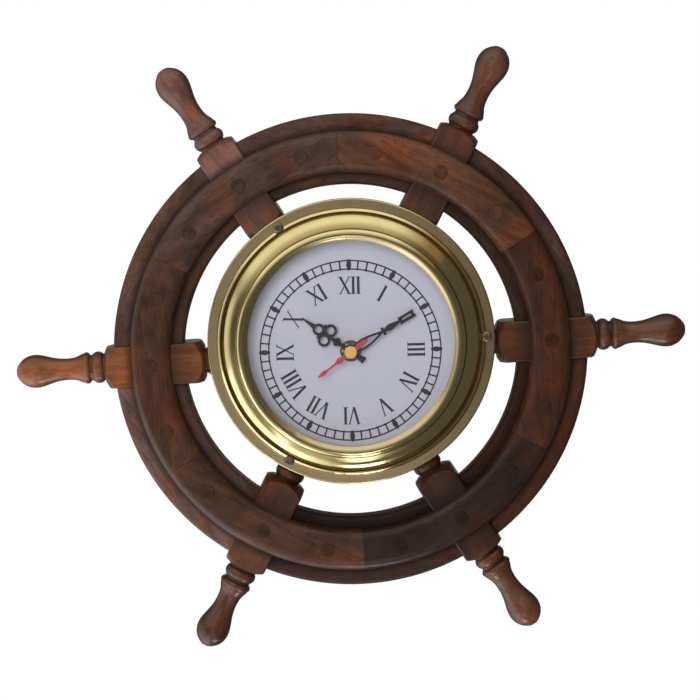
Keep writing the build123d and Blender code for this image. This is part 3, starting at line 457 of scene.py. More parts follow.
        sockets = {
            "Base Color": self.worn_and_shaded(shader, tone, (along - shift[0], deep - shift[1], across - shift[2])),
            "Roughness": rough,
            "Coat Weight": self.varnish,
            "Coat Roughness": self.varnish_gloss,
            "Specular IOR Level": self.shine,
            "Normal": shader.bump(fibres * self.fibre_height - pores, self.pore_depth, self.relief),
        }
        return shader.finish(shader.surface(sockets))


@dataclass(frozen=True)
class DowelEnds:
    """End grain of dowels, each a little darker than the felloe that it is in."""

    timbers: tuple[Timber, ...]
    shade: float = 0.98
    low_shade: float = 0.55
    gloss: float = 0.52
    shine: float = 0.25
    patch_scale: float = 190.0
    patch_edges: Span = (0.25, 0.62)
    patch_depth: float = 0.0006
    relief: float = 0.7
    pore_scale: float = 900.0
    pore_edges: Span = (0.52, 0.68)
    pore_share: float = 0.5
    pore_gloss: float = 0.2
    pore_tone: Colour = (0.008, 0.004, 0.003)

    def material(self, name: str) -> bpy.types.Material:
        """End grain whose mean colour steps around the wheel from felloe to felloe.

        The share of a turn, moved on by half a felloe, picks the felloe's timber from a stepped ramp. A patchy
        noise then darkens it, and a fine one gives the open pores.

        Args:
            name: The material's name.

        Returns:
            The material.
        """
        shader = new_shader(name)
        spot = shader.place()
        across, _, up = shader.parts(spot)
        count = len(self.timbers)
        felloe = shader.fraction(up.turns(across) + 0.5 / count)
        stops = [(index / count, timber.value) for index, timber in enumerate(self.timbers)]
        tone = shader.ramp(felloe, stops, "CONSTANT")
        patch = shader.noise(spot, self.patch_scale, detail=3.0)
        pores = shader.noise(spot, self.pore_scale, detail=2.0).smooth(*self.pore_edges)
        low = shader.mix(1.0, tone, (self.low_shade,) * 3, "MULTIPLY")
        tone = shader.mix(patch.smooth(*self.patch_edges), low, tone)
        tone = shader.mix(1.0, tone, (self.shade,) * 3, "MULTIPLY")
        sockets = {
            "Base Color": shader.mix(pores * self.pore_share, tone, self.pore_tone),
            "Roughness": self.gloss + pores * self.pore_gloss,
            "Specular IOR Level": self.shine,
            "Normal": shader.bump(patch, self.patch_depth, self.relief),
        }
        return shader.finish(shader.surface(sockets))


@dataclass(frozen=True)
class SpunBrass:
    """Polished brass spun on a lathe: fine rings about its axis, smudges, and tarnish in the low places."""

    tint: Colour = (0.80, 0.65, 0.30)
    tarnish: Colour = (0.50, 0.37, 0.205)
    dirt: Colour = (0.30, 0.215, 0.095)
    gloss: float = 0.13
    dulled: float = 0.42
    dull_share: float = 0.85
    smudge_scale: float = 38.0
    smudge_share: float = 0.5
    smudge_gloss: float = 0.10
    grooves: tuple[float, ...] = ()
    groove_edges: Span = (0.10 * MM, 0.60 * MM)
    groove_gloss: float = 0.25
    worn_radius: float = 0.0
    worn_edge: float = 2.0 * MM
    rim_radius: float = 0.0
    rim_edge: float = 0.7 * MM
    ring_pitch: float = 0.00035
    ring_drift: float = 2.0
    ring_gloss: float = 0.05
    ring_depth: float = 0.000004
    relief: float = 0.25

    def material(self, name: str, centre: Point, low: float, high: float) -> bpy.types.Material:
        """Brass about a depth axis, dull at one depth and bright at another, with dirt in its grooves.

        Args:
            name: The material's name.
            centre: A point on the axis, in metres.
            low: The depth coordinate at which it is all tarnished.
            high: The depth coordinate at which it is all bright.

        Returns:
            The material.
        """
        shader = new_shader(name)
        offset = shader.place(0.0, tuple(-value for value in centre))
        side, deep, up = shader.parts(offset)
        radius = (side * side + up * up) ** 0.5
        turned = shader.join(radius / self.ring_pitch, side * self.ring_drift, up * self.ring_drift)
        rings = shader.noise(turned, detail=2.0, rough=0.7)
        smudge = shader.noise(offset, self.smudge_scale, detail=4.0, rough=0.6) - NOISE_MEAN
        dull = 1.0 - (deep * -1.0).smooth(centre[1] - low, centre[1] - high)
        if self.worn_radius:
            dull = dull.most(1.0 - radius.smooth(self.worn_radius, self.worn_radius + self.worn_edge))
        if self.rim_radius:
            dull = dull * (1.0 - radius.smooth(self.rim_radius, self.rim_radius + self.rim_edge))
        dull = (dull * self.dull_share + smudge * self.smudge_share).held()
        tone = shader.mix(dull, self.tint, self.tarnish)
        rough = self.gloss + dull * (self.dulled - self.gloss)
        rough = rough + smudge * self.smudge_gloss + rings * self.ring_gloss
        for groove in self.grooves:
            filled = 1.0 - (radius - groove).size().smooth(*self.groove_edges)
            tone = shader.mix(filled, tone, self.dirt)
            rough = rough + filled * self.groove_gloss
        sockets = {
            "Base Color": tone,
            "Metallic": 1.0,
            "Roughness": rough,
            "Normal": shader.bump(rings, self.ring_depth, self.relief),
        }
        return shader.finish(shader.surface(sockets))


@dataclass(frozen=True)
class Metal:
    """A bare or plated metal with a brushed or cast grain."""

    tint: Colour
    gloss: float = 0.32
    scales: Point = (400.0, 400.0, 40.0)
    spread: float = 0.18
    worn_share: float = 0.72
    grain_depth: float = 0.00002
    relief: float = 0.4

    def material(self, name: str) -> bpy.types.Material:
        """Metal whose roughness and tone follow a stretched noise."""
        shader = new_shader(name)
        brushed = shader.noise(shader.stretch(shader.place(), self.scales), detail=3.0, rough=0.6)
        worn = tuple(channel * self.worn_share for channel in self.tint)
        sockets = {
            "Base Color": shader.mix(brushed, worn, self.tint),
            "Metallic": 1.0,
            "Roughness": self.gloss + brushed * self.spread,
            "Normal": shader.bump(brushed, self.grain_depth, self.relief),
        }
        return shader.finish(shader.surface(sockets))


@dataclass(frozen=True)
class Coating:
    """Paint, plastic, paper or rubber: an even colour with a fine mottle and a fine grain."""

    tint: Colour
    gloss: float = 0.45
    mottle: float = 0.12
    mottle_scale: float = 60.0
    grain_scale: float = 1800.0
    grain_gloss: float = 0.10
    grain_depth: float = 0.00003
    relief: float = 0.5
    shine: float = 0.5

    def material(self, name: str) -> bpy.types.Material:
        """A mottled and grained coat of one colour."""
        shader = new_shader(name)
        spot = shader.place()
        mottle = shader.noise(spot, self.mottle_scale, detail=3.0)
        grain = shader.noise(spot, self.grain_scale, detail=1.0)
        low = tuple(channel * (1.0 - self.mottle) for channel in self.tint)
        high = tuple(channel * (1.0 + self.mottle) for channel in self.tint)
        sockets = {
            "Base Color": shader.mix(mottle, low, high),
            "Roughness": self.gloss + (grain - NOISE_MEAN) * self.grain_gloss,
            "Specular IOR Level": self.shine,
            "Normal": shader.bump(grain, self.grain_depth, self.relief),
        }
        return shader.finish(shader.surface(sockets))


@dataclass(frozen=True)
class ClearGlass:
    """Flat clock glass that lets the light of the lamps through to the dial."""

    index: float = 1.45

    def material(self, name: str) -> bpy.types.Material:
        """Clear glass, which is see-through for lamps and for bounced light."""
        shader = new_shader(name)
        sockets = {
            "Base Color": WHITE,
            "Roughness": 0.0,
            "IOR": self.index,
            "Transmission Weight": 1.0,
        }
        pane = shader.surface(sockets)
        clear = shader.node("ShaderNodeBsdfTransparent", None, {"Color": WHITE})
        shadow = shader.node("ShaderNodeLightPath", output="Is Shadow Ray")
        bounce = shader.node("ShaderNodeLightPath", output="Is Diffuse Ray")
        mixed = shader.node("ShaderNodeMixShader", None, {0: shadow.most(bounce), 1: pane, 2: clear})
        return shader.finish(mixed)


def dress(node: str, material: bpy.types.Material) -> None:
    """Give a node of the frame one material.

    Args:
        node: The node's name.
        material: The material for all its faces.
    """
    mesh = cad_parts[node].data
    mesh.materials.clear()
    mesh.materials.append(material)
    log.info("dressed %s with %s", node, material.name)


def prisms(outlines: np.ndarray, base: np.ndarray, top: np.ndarray) -> tuple[np.ndarray, np.ndarray]:
    """Close flat outlines of four corners into blocks between two depths.

    Each corner (x, z) gives one point at its base and one at its top; the faces join them in order.

    Args:
        outlines: Corners of each outline, counter-clockwise from the front, as (count, 4, 2).
        base: The depth coordinate of each outline's back.
        top: The depth coordinate of each outline's front.

    Returns:
        The points and the four-cornered faces.
    """
    count, corners = outlines.shape[:2]
    points = np.empty((count, 2, corners, 3))
    points[..., 0] = outlines[:, None, :, 0]
    points[..., 2] = outlines[:, None, :, 1]
    points[:, 0, :, 1] = np.asarray(base)[:, None]
    points[:, 1, :, 1] = np.asarray(top)[:, None]
    sides = [(0, 1, 5, 4), (1, 2, 6, 5), (2, 3, 7, 6), (3, 0, 4, 7)]
    block = np.array([(4, 5, 6, 7), (3, 2, 1, 0), *sides])
    faces = block[None] + 2 * corners * np.arange(count)[:, None, None]
    return points.reshape(-1, 3), faces.reshape(-1, 4)


def new_piece(name: str, body: str, points: np.ndarray, faces: np.ndarray) -> bpy.types.Object:
    """Make a mesh piece that rides on a body.

    Args:
        name: The piece's name.
        body: The body that carries it.
        points: Its points, in metres.
        faces: Its faces, as rows of point numbers.

    Returns:
        The piece.
    """
    mesh = bpy.data.meshes.new(name)
    mesh.from_pydata(points.tolist(), [], faces.tolist())
    mesh.validate()
    mesh.update()
    piece = bpy.data.objects.new(name, mesh)
    bpy.context.scene.collection.objects.link(piece)
    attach(piece, body)
    log.info("made %s with %d faces", name, len(mesh.polygons))
    return piece


@dataclass(frozen=True)
class Layer:
    """One layer of the wheel's sticks; lean is the angle of their grain from the radius, in degrees."""

    name: str
    timbers: tuple[Timber, ...]
    lean: float
    gloss: float
    varnish: float
    sheen: float


@dataclass
class Wheel:
    """The wooden wheel: spokes, three layers of felloes, dowels, hub and hanger."""

    pitch: float = 60.0
    spoke_timbers: tuple[Timber, ...] = (
        Timber.RED, Timber.TAN, Timber.ROSE, Timber.HONEY, Timber.RED, Timber.UMBER,
    )
    front_timbers: tuple[Timber, ...] = (
        Timber.HEART, Timber.RED, Timber.PLUM, Timber.UMBER, Timber.UMBER, Timber.EBONY,
    )
    core_timbers: tuple[Timber, ...] = (
        Timber.PLUM, Timber.ASH, Timber.ASH, Timber.SLATE, Timber.SMOKE, Timber.HEART,
    )
    wear_places: tuple[float, ...] = (0.108, 0.158, 0.190, 0.222)
    wear_shares: tuple[tuple[float, ...], ...] = (
        (0.60, 0.68, 1.70, 0.62), (0.54, 0.42, 0.68, 0.88), (0.66, 1.22, 0.88, 1.05),
        (0.72, 1.10, 1.10, 1.42), (0.58, 1.12, 0.86, 0.55), (0.66, 0.54, 1.75, 2.05),
    )
    stick_step: Point = (0.37, 0.23, 0.41)
    # Radii of the front ring's inner and outer edges, each with the reach of the painted shade on the sticks next to
    # it.
    ring_edge_shades: tuple[Span, ...] = ((121.5 * MM, 17.0 * MM), (149.5 * MM, 6.0 * MM))
    felloe_sheen: float = 0.26
    spoke_sheen: float = 0.20
    spoke_calm: float = 0.62
    # Share of painted shade on a spoke's sides, and its turned grooves with the reach of the painted shade in each.
    spoke_side_shade: float = 0.80
    spoke_groove_shades: tuple[Span, ...] = (
        (98.4 * MM, 2.0 * MM), (168.2 * MM, 2.2 * MM), (176.9 * MM, 2.0 * MM),
    )
    hub: Rosewood = Rosewood(Timber.UMBER, gloss=0.5)
    plate: Metal = Metal((0.66, 0.49, 0.22))
    screws: Metal = Metal((0.55, 0.54, 0.52))

    def layers(self) -> tuple[Layer, ...]:
        """The four layers: spokes with the grain along the radius, and felloes with the grain along their chord."""
        chord, sheen = 90.0, self.felloe_sheen
        between = chord + self.pitch / 2
        return (
            Layer("spoke", self.spoke_timbers, lean=0.0, gloss=0.40, varnish=0.45, sheen=self.spoke_sheen),
            Layer("front_felloe", self.front_timbers, lean=chord, gloss=0.46, varnish=0.35, sheen=sheen),
            Layer("core_felloe", self.core_timbers, lean=between, gloss=0.54, varnish=0.0, sheen=sheen),
            Layer("back_felloe", self.core_timbers[::-1], lean=chord, gloss=0.54, varnish=0.0, sheen=sheen),
        )

    def wood(self, layer: Layer, index: int, node: str) -> Rosewood:
        """The wood of one stick, with painted shade at the front ring's edges unless it is in that ring.

        A spoke is also calmer in figure, worn along its length, and given painted shade on its sides and in its
        grooves.

        Args:
            layer: The stick's layer.
            index: The stick's number in its layer, from 0.
            node: The stick's node.

        Returns:
            The wood.
        """
        wood = Rosewood(
            layer.timbers[index],
            gloss=layer.gloss,
            varnish=layer.varnish,
            varnish_gloss=layer.sheen,
            # Painted shade at the front ring's edges, on every stick but those of that ring.
            corners=() if layer.name == "front_felloe" else self.ring_edge_shades,
        )
        if layer.name != "spoke":
            return wood
        low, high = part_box(node)
        return replace(
            wood.calmed(self.spoke_calm),
            worn=tuple(zip(self.wear_places, self.wear_shares[index])),
            axis=(low.y + high.y) / 2,
            side_shade_share=self.spoke_side_shade,
            grooves=self.spoke_groove_shades,
        )

    def dress(self) -> None:
        """Give each stick its own timber, with the grain along it."""
        for row, layer in enumerate(self.layers()):
            for index in range(len(layer.timbers)):
                node = f"{layer.name}_{index + 1}"
                stick = 1 + index + row * len(layer.timbers)
                shift = tuple(step * stick for step in self.stick_step)
                wood = self.wood(layer, index, node)
                dress(node, wood.material(f"rosewood_{node}", index * self.pitch + layer.lean, shift))
        dress("rim_dowels", DowelEnds(self.front_timbers).material("dowel_wood"))
        dress("hub", self.hub.material("hub_wood", 0.0, self.stick_step))
        dress("hanger_plate", self.plate.material("hanger_brass"))
        dress("hanger_screws", self.screws.material("screw_steel"))


@dataclass
class BrassCase:
    """The brass case: base moulding, inner ring, screws, glass and gasket."""

    base: SpunBrass = SpunBrass(dulled=0.54, grooves=(87.9 * MM, 77.3 * MM), rim_radius=95.7 * MM)
    base_depths: Span = (2.4 * MM, 4.2 * MM)
    ring: SpunBrass = SpunBrass(
        gloss=0.11, dulled=0.30, tarnish=(0.68, 0.53, 0.27), grooves=(76.9 * MM,), worn_radius=71.5 * MM
    )
    ring_inset: float = 3.0 * MM
    screws: Metal = Metal((0.42, 0.35, 0.22), gloss=0.36)
    glass: ClearGlass = ClearGlass()
    rubber: Coating = Coating((0.02, 0.02, 0.02), gloss=0.6)

    def dress(self) -> None:
        """Give the case its brass, its glass and its seal."""
        low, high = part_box("bezel_base")
        ring_low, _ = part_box("bezel_ring")
        centre = ((low.x + high.x) / 2, 0.0, (low.z + high.z) / 2)
        dull, bright = (high.y - depth for depth in self.base_depths)
        dress("bezel_base", self.base.material("case_brass", centre, dull, bright))
        dull, bright = high.y - self.ring_inset, ring_low.y + self.ring_inset
        dress("bezel_ring", self.ring.material("ring_brass", centre, dull, bright))
        dress("bezel_screws", self.screws.material("screw_brass"))
        dress("glass", self.glass.material("dial_glass"))
        dress("gasket", self.rubber.material("gasket_rubber"))


class Letter(Enum):
    """Roman letters: width, and strokes as foot and head places across that width, and whether thick."""

    I = (0.0, ((0.0, 0.0, True),))
    V = (1.0, ((0.5, 0.0, True), (0.5, 1.0, False)))
    X = (1.0, ((1.0, 0.0, True), (0.0, 1.0, False)))


@dataclass
class DialPrint:
    """The black print on the dial: a minute track with its marks, and radial Roman numerals.

    Rises are heights of the ink as shares of its depth; they differ where one piece of the print crosses another.
    """

    turn: float = -2.5
    track_outer: float = 61.0 * MM
    track_inner: float = 55.3 * MM
    line_width: float = 0.98 * MM
    tick_width: float = 1.05 * MM
    dot_width: float = 1.40 * MM
    mark_over: float = 0.95 * MM
    mark_width: float = 3.7 * MM
    mark_end_share: float = 0.42
    numeral_foot: float = 38.4 * MM
    numeral_head: float = 50.2 * MM
    thick: float = 1.72 * MM
    thin: float = 0.82 * MM
    serif_reach: float = 0.70 * MM
    serif_depth: float = 0.40 * MM
    letter_width: float = 6.2 * MM
    stem_pitch: float = 3.45 * MM
    wide_pitch: float = 2.6 * MM
    ink_depth: float = 0.04 * MM
    track_rises: tuple[float, ...] = (1.0, 1.2, 1.4, 1.6, 2.0, 2.0)
    thick_rises: Span = (1.6, 1.0)
    thin_rises: Span = (1.3, 0.8)
    ring_steps: int = 240
    ink: Coating = Coating((0.006, 0.006, 0.011), gloss=0.55, mottle=0.35, mottle_scale=900.0, shine=0.12)

    def numerals(self) -> tuple[tuple[Letter, ...], ...]:
        """The twelve numerals, from one o'clock on."""
        words = ("I", "II", "III", "IV", "V", "VI", "VII", "VIII", "IX", "X", "XI", "XII")
        return tuple(tuple(Letter[letter] for letter in word) for word in words)

    def around(self, flat: np.ndarray, angles: np.ndarray) -> np.ndarray:
        """Turn upright outlines to their clock angles.

        A corner at (across, out) goes to out times the radial direction plus across times the tangent.

        Args:
            flat: Corners as (count, 4, 2): across and outwards.
            angles: The clock angle of each outline, clockwise from the top, in radians.

        Returns:
            The corners in the dial's plane.
        """
        lean = np.asarray(angles)[:, None] - math.radians(self.turn)
        across, out = flat[..., 0], flat[..., 1]
        side = out * np.sin(lean) + across * np.cos(lean)
        return np.stack([side, out * np.cos(lean) - across * np.sin(lean)], -1)

    def stroke(self, low: float, high: float, half: Span, foot: float, head: float) -> np.ndarray:
        """A slanted stroke cut level at both ends.

        Args:
            low: Where the middle of its foot stands.
            high: Where the middle of its head stands.
            half: Half its width at the foot and at the head.
            foot: The height of its foot.
            head: The height of its head.

        Returns:
            The four corners.
        """
        corners = [[low - half[0], foot], [low + half[0], foot], [high + half[1], head], [high - half[1], head]]
        return np.array(corners)

    def bars(self, count: int, width: float, low: float, high: float) -> np.ndarray:
        """Equal upright bars of one width between two heights."""
        return np.repeat(self.stroke(0.0, 0.0, (width / 2, width / 2), low, high)[None], count, 0)

    def line(self, radius: float) -> np.ndarray:
        """A ring of the line's width at a radius, as short pieces side by side."""
        step = FULL_TURN / self.ring_steps
        start = np.arange(self.ring_steps) * step - math.radians(self.turn)
        inner, outer = radius - self.line_width / 2, radius + self.line_width / 2
        corners = [(inner, start), (inner, start + step), (outer, start + step), (outer, start)]
        return np.stack([np.stack([reach * np.sin(turn), reach * np.cos(turn)], -1) for reach, turn in corners], 1)

    def track(self) -> tuple[np.ndarray, np.ndarray]:
        """Outlines and heights of the track: two lines, minute ticks with dots, and hour marks.

        Each hour mark is two strokes that meet at their wide ends in the middle of the track.

        Returns:
            The outlines and how high each stands, as shares of the ink's depth.
        """
        minutes = np.array([minute for minute in range(MINUTES) if minute % (MINUTES // HOURS)])
        turns, count, dot = minutes * FULL_TURN / MINUTES, len(minutes), self.dot_width / 2
        ticks = self.bars(count, self.tick_width, self.track_inner, self.track_outer)
        dots = self.bars(count, self.dot_width, self.track_inner - dot, self.track_inner + dot)
        hours = np.arange(HOURS) * FULL_TURN / HOURS
        middle = (self.track_inner + self.track_outer) / 2
        reach = (self.track_outer - self.track_inner) / 2 + self.mark_over
        half, end = self.mark_width / 2, self.mark_width * self.mark_end_share / 2
        lower = self.stroke(0.0, 0.0, (end, half), middle - reach, middle)
        upper = self.stroke(0.0, 0.0, (half, end), middle, middle + reach)
        outlines = [self.line(self.track_inner), self.line(self.track_outer)]
        outlines += [self.around(part, turns) for part in (ticks, dots)]
        outlines += [self.around(np.repeat(part[None], HOURS, 0), hours) for part in (lower, upper)]
        heights = [np.full(len(part), rise) for part, rise in zip(outlines, self.track_rises)]
        return np.concatenate(outlines), np.concatenate(heights)

    def letter(self, letter: Letter, left: float) -> tuple[list[np.ndarray], list[float]]:
        """Outlines of one letter: slanted strokes cut level at foot and head, with serifs at their ends.

        The strokes of a V meet at the foot, so they have serifs at their heads alone.

        Args:
            letter: The letter.
            left: Where its first stroke's middle may stand furthest left.

        Returns:
            The outlines, and the height of each as a share of the ink's depth.
        """
        outlines, heights = [], []
        _, strokes = letter.value
        foot, head = self.numeral_foot, self.numeral_head
        for foot_share, head_share, thick in strokes:
            half = (self.thick if thick else self.thin) / 2
            rise, serif_rise = self.thick_rises if thick else self.thin_rises
            low, high = left + foot_share * self.letter_width, left + head_share * self.letter_width
            outlines.append(self.stroke(low, high, (half, half), foot, head))
            heights.append(rise)
            ends = [(high, head - self.serif_depth, head)]
            ends += [] if letter is Letter.V else [(low, foot, foot + self.serif_depth)]
            reach = half + self.serif_reach
            outlines += [self.stroke(place, place, (reach, reach), bottom, top) for place, bottom, top in ends]
            heights += [serif_rise] * len(ends)
        return outlines, heights

    def words(self) -> tuple[np.ndarray, np.ndarray]:
        """Outlines and heights of all the numerals.

        Returns:
            The outlines and how high each stands, as shares of the ink's depth.
        """
        outlines, heights, turns = [], [], []
        for hour, numeral in enumerate(self.numerals(), start=1):
            stems = [letter is Letter.I for letter in numeral]
            gaps = [self.stem_pitch if all(pair) else self.wide_pitch for pair in zip(stems, stems[1:])] + [0.0]
            steps = [letter.value[0] * self.letter_width + gap for letter, gap in zip(numeral, gaps)]
            left = -sum(steps) / 2
            for letter, step in zip(numeral, steps):
                flat, rises = self.letter(letter, left)
                outlines += flat
                heights += rises
                turns += [hour * FULL_TURN / HOURS] * len(flat)
                left += step
        return self.around(np.array(outlines), np.array(turns)), np.array(heights)

    def build(self) -> None:
        """Lay the ink on the dial sheet."""
        low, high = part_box("dial")
        front = low.y
        middle = np.array([(low.x + high.x) / 2, (low.z + high.z) / 2])
        ink = self.ink.material("dial_ink")
        for name, (outlines, heights) in (("dial_track", self.track()), ("dial_numerals", self.words())):
            base = np.full(len(outlines), front)
            points, faces = prisms(outlines + middle, base, front - heights * self.ink_depth)
            piece = new_piece(name, "clock", points, faces)
            piece.data.materials.append(ink)


@dataclass
class Dial:
    """The dial: its board, its paper sheet and its print."""

    print: DialPrint
    paper: Coating = Coating((0.455, 0.455, 0.53), gloss=0.62, mottle=0.03, mottle_scale=26.0, shine=0.3)
    board: Coating = Coating((0.36, 0.25, 0.15), gloss=0.8, mottle=0.2)

    def dress(self) -> None:
        """Give the board and the sheet their finishes, and print the sheet."""
        dress("dial", self.paper.material("dial_paper"))
        dress("dial_board", self.board.material("dial_board"))
        self.print.build()


@dataclass
class Hands:
    """The hands and the nut that caps them."""

    black: Coating = Coating((0.004, 0.004, 0.006), gloss=0.50, mottle=0.3, shine=0.08)
    red: Coating = Coating((0.36, 0.013, 0.032), gloss=0.36, mottle=0.15, shine=0.3)
    brass: Metal = Metal((0.50, 0.31, 0.085), gloss=0.34)

    def dress(self) -> None:
        """Lacquer the hands and polish the nut and the cap."""
        black = self.black.material("hand_black")
        for node in ("hour_hand", "minute_hand"):
            dress(node, black)
        dress("second_hand", self.red.material("hand_red"))
        for node in ("cap_nut", "second_cap"):
            dress(node, self.brass.material(f"{node}_brass"))


@dataclass
class Movement:
    """The quartz movement behind the dial."""

    moulded: Coating = Coating((0.018, 0.018, 0.019), gloss=0.52, mottle=0.2, grain_scale=2600.0)
    train: Coating = Coating((0.72, 0.71, 0.66), gloss=0.42, mottle=0.05)
    moulded_nodes: tuple[str, ...] = ("front_case", "back_case", "setting_knob")
    train_nodes: tuple[str, ...] = (
        "rotor", "intermediate_wheel", "second_wheel", "third_wheel", "centre_gear",
        "minute_arbor", "motion_wheel", "hour_wheel",
    )

    def dress(self) -> None:
        """Give each piece of the movement its finish."""
        finishes = {
            "battery": Coating((0.10, 0.13, 0.17), gloss=0.30, mottle=0.08),
            "circuit_board": Coating((0.02, 0.12, 0.05), gloss=0.4),
            "chip": Coating((0.012, 0.012, 0.012), gloss=0.3),
            "washer": Coating((0.02, 0.02, 0.02), gloss=0.6),
            "coil": Metal((0.55, 0.24, 0.10), scales=(4000.0, 60.0, 60.0)),
            "stator": Metal((0.48, 0.48, 0.47)),
            "battery_contacts": Metal((0.60, 0.60, 0.58)),
            "crystal": Metal((0.72, 0.72, 0.72), gloss=0.2),
            "fixing_nut": Metal((0.70, 0.52, 0.24)),
        }
        finishes |= {node: self.moulded for node in self.moulded_nodes}
        finishes |= {node: self.train for node in self.train_nodes}
        for node, finish in finishes.items():
            dress(node, finish.material(f"{node}_finish"))


@dataclass(frozen=True)
class Lamp:
    """A soft lamp that looks at the clock, and may be kept out of its reflections."""

    name: str
    place: Point
    sides: Span
    radiance: float
    colour: Colour = WHITE
    mirrored: bool = True

    def build(self) -> None:
        """Hang the lamp, aimed at the clock's centre with its second side to the front; power goes with its area."""
        light = bpy.data.lights.new(self.name, "AREA")
        light.shape = "RECTANGLE"
        light.size, light.size_y = self.sides
        light.energy = self.radiance * math.pi * self.sides[0] * self.sides[1]
        light.color = self.colour
        lamp = bpy.data.objects.new(self.name, light)
        lamp.visible_glossy = self.mirrored
        front, out = Vector((0.0, -1.0, 0.0)), Vector(self.place).normalized()
        rise = (front - out * front.dot(out)).normalized()
        turn = Matrix((rise.cross(out), rise, out)).transposed().to_4x4()
        lamp.matrix_world = Matrix.Translation(self.place) @ turn
        bpy.context.scene.collection.objects.link(lamp)


@dataclass(frozen=True)
class Glow:
    """A bright sector of the room that polished metal mirrors: edges as shares of a turn and as forward reach."""

    strength: float
    rise: Span
    fall: Span
    front: Span
    back: Span

    def level(self, turn: Signal, forward: Signal) -> Signal:
        """The sector's brightness in a direction.

        Args:
            turn: The direction's share of a turn about the depth axis.
            forward: How far the direction reaches to the front.

        Returns:
            The strength times the smooth steps at the sector's four edges.
        """
        sector = turn.smooth(*self.rise) * (1.0 - turn.smooth(*self.fall))
        return sector * (1.0 - forward.smooth(*self.front)) * forward.smooth(*self.back) * self.strength


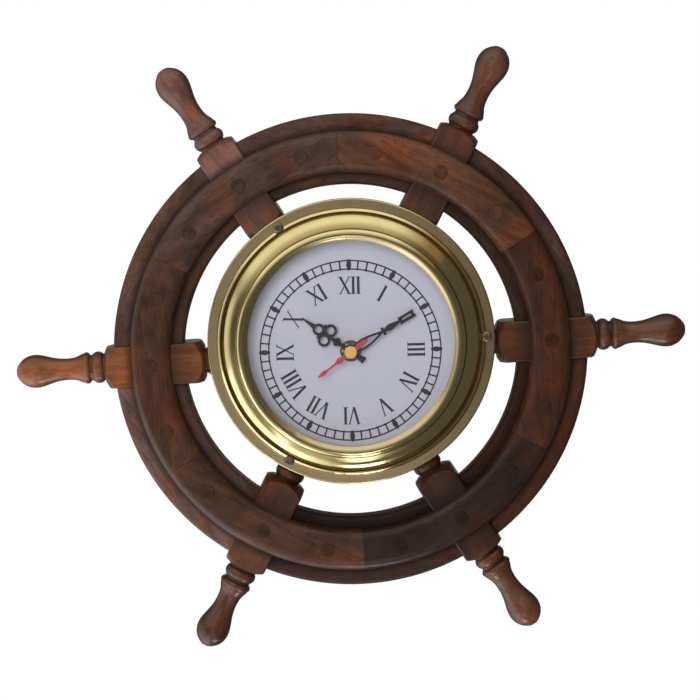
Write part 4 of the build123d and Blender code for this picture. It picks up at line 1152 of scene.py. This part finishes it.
@dataclass
class Studio:
    """The camera, the lamps, the floor and the white surround, with the lens and the sensor in millimetres."""

    elevation: float = 6.109
    azimuth: float = 0.365
    roll: float = -3.8
    distance: float = 1.4
    target: Point = (-0.00045, 0.0, 0.00110)
    lens: float = 105.93
    sensor: float = 36.0
    floor_drop: float = 1.5
    floor_side: float = 8.0
    floor_tint: Colour = (0.8, 0.8, 0.8)
    floor_gloss: float = 0.9
    ambient: float = 0.27
    room: float = 0.085
    glows: tuple[Glow, ...] = (
        Glow(0.94, (0.115, 0.180), (0.385, 0.465), (0.55, 1.25), (-0.75, 0.40)),
        Glow(0.16, (0.510, 0.560), (0.690, 0.735), (0.75, 1.10), (-0.80, 0.10)),
        Glow(0.30, (0.630, 0.680), (0.700, 0.730), (0.75, 1.10), (-0.80, 0.10)),
        Glow(0.72, (0.425, 0.465), (0.690, 0.750), (0.30, 0.75), (-0.90, -0.35)),
    )
    behind_edges: Span = (0.80, 0.98)
    behind_level: float = 0.30
    lamps: tuple[Lamp, ...] = (
        Lamp("front_lamp", (-0.50, -2.14, 0.52), (1.8, 1.0), 6.45, mirrored=False),
        Lamp("left_lamp", (-0.86, -0.20, -0.76), (1.15, 1.1), 0.80, (0.94, 0.97, 1.16)),
        Lamp("bar_lamp", (-0.646, -0.65, -0.922), (0.09, 1.4), 1.9, (0.95, 1.0, 1.2)),
        Lamp("window_lamp", (0.01, -1.17, -0.915), (0.25, 0.80), 1.9, (0.95, 1.0, 1.15)),
        Lamp("low_lamp", (0.03, -0.20, -1.25), (0.34, 0.34), 7.0),
        Lamp("warm_lamp", (0.80, -0.60, 0.76), (0.34, 1.3), 0.19, (1.0, 0.54, 0.22)),
        Lamp("back_lamp", (0.30, 2.14, 0.64), (1.8, 1.0), 5.4, mirrored=False),
    )

    def camera(self) -> None:
        """Set the camera at the photograph's angle."""
        lift, swing = math.radians(self.elevation), math.radians(self.azimuth)
        back = Vector((math.sin(swing) * math.cos(lift), -math.cos(swing) * math.cos(lift), math.sin(lift)))
        right = Vector((0.0, 0.0, 1.0)).cross(back).normalized()
        upright = back.cross(right)
        tilt = math.radians(self.roll)
        side = right * math.cos(tilt) + upright * math.sin(tilt)
        rise = upright * math.cos(tilt) - right * math.sin(tilt)
        data = bpy.data.cameras.new("camera")
        data.lens = self.lens
        data.sensor_width = self.sensor
        camera = bpy.data.objects.new("camera", data)
        turn = Matrix((side, rise, back)).transposed().to_4x4()
        camera.matrix_world = Matrix.Translation(Vector(self.target) + back * self.distance) @ turn
        bpy.context.scene.collection.objects.link(camera)
        bpy.context.scene.camera = camera

    def floor(self) -> None:
        """Lay a pale floor well below the clock; the camera sees it as white."""
        half = self.floor_side / 2
        corners = [(-half, -half), (half, -half), (half, half), (-half, half)]
        mesh = bpy.data.meshes.new("floor")
        mesh.from_pydata([(x, y, -self.floor_drop) for x, y in corners], [], [(0, 1, 2, 3)])
        floor = bpy.data.objects.new("floor", mesh)
        bpy.context.scene.collection.objects.link(floor)
        shader = new_shader("floor_white")
        matt = shader.surface({"Base Color": self.floor_tint, "Roughness": self.floor_gloss})
        white = shader.node("ShaderNodeEmission", None, {"Color": WHITE, "Strength": 1.0})
        seen = shader.node("ShaderNodeLightPath", output="Is Camera Ray")
        mixed = shader.node("ShaderNodeMixShader", None, {0: seen, 1: matt, 2: white})
        mesh.materials.append(shader.finish(mixed))
        floor.visible_glossy = False

    def surround(self) -> None:
        """Make the surround: white to the eye and through glass, and a dim room with bright sectors to gloss."""
        world = bpy.data.worlds.new("surround")
        bpy.context.scene.world = world
        shader = Shader(world)
        view = shader.node("ShaderNodeTexCoord", output="Generated")
        side, deep, up = shader.parts(view)
        turn = up.turns(side)
        room = sum((glow.level(turn, deep * -1.0) for glow in self.glows), start=self.room)
        behind = deep.smooth(*self.behind_edges)
        room = room + behind * (self.behind_level - room)
        rays = ("Camera", "Transmission", "Glossy")
        seen, through, mirrored = (shader.node("ShaderNodeLightPath", output=f"Is {ray} Ray") for ray in rays)
        level = self.ambient + mirrored * (room - self.ambient)
        level = level + seen.most(through) * (1.0 - level)
        shader.finish(shader.node("ShaderNodeBackground", None, {"Color": WHITE, "Strength": level}))

    def build(self) -> None:
        """Set up the whole studio."""
        self.camera()
        for lamp in self.lamps:
            lamp.build()
        self.floor()
        self.surround()
        bpy.context.scene.view_settings.view_transform = "Standard"


def main() -> None:
    """Build the studio and the clock's looks."""
    logging.basicConfig(level=logging.INFO, format="%(name)s: %(message)s")
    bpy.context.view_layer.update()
    Studio().build()
    for assembly in (Wheel(), BrassCase(), Dial(DialPrint()), Hands(), Movement()):
        assembly.dress()


if __name__ == "__main__":
    main()
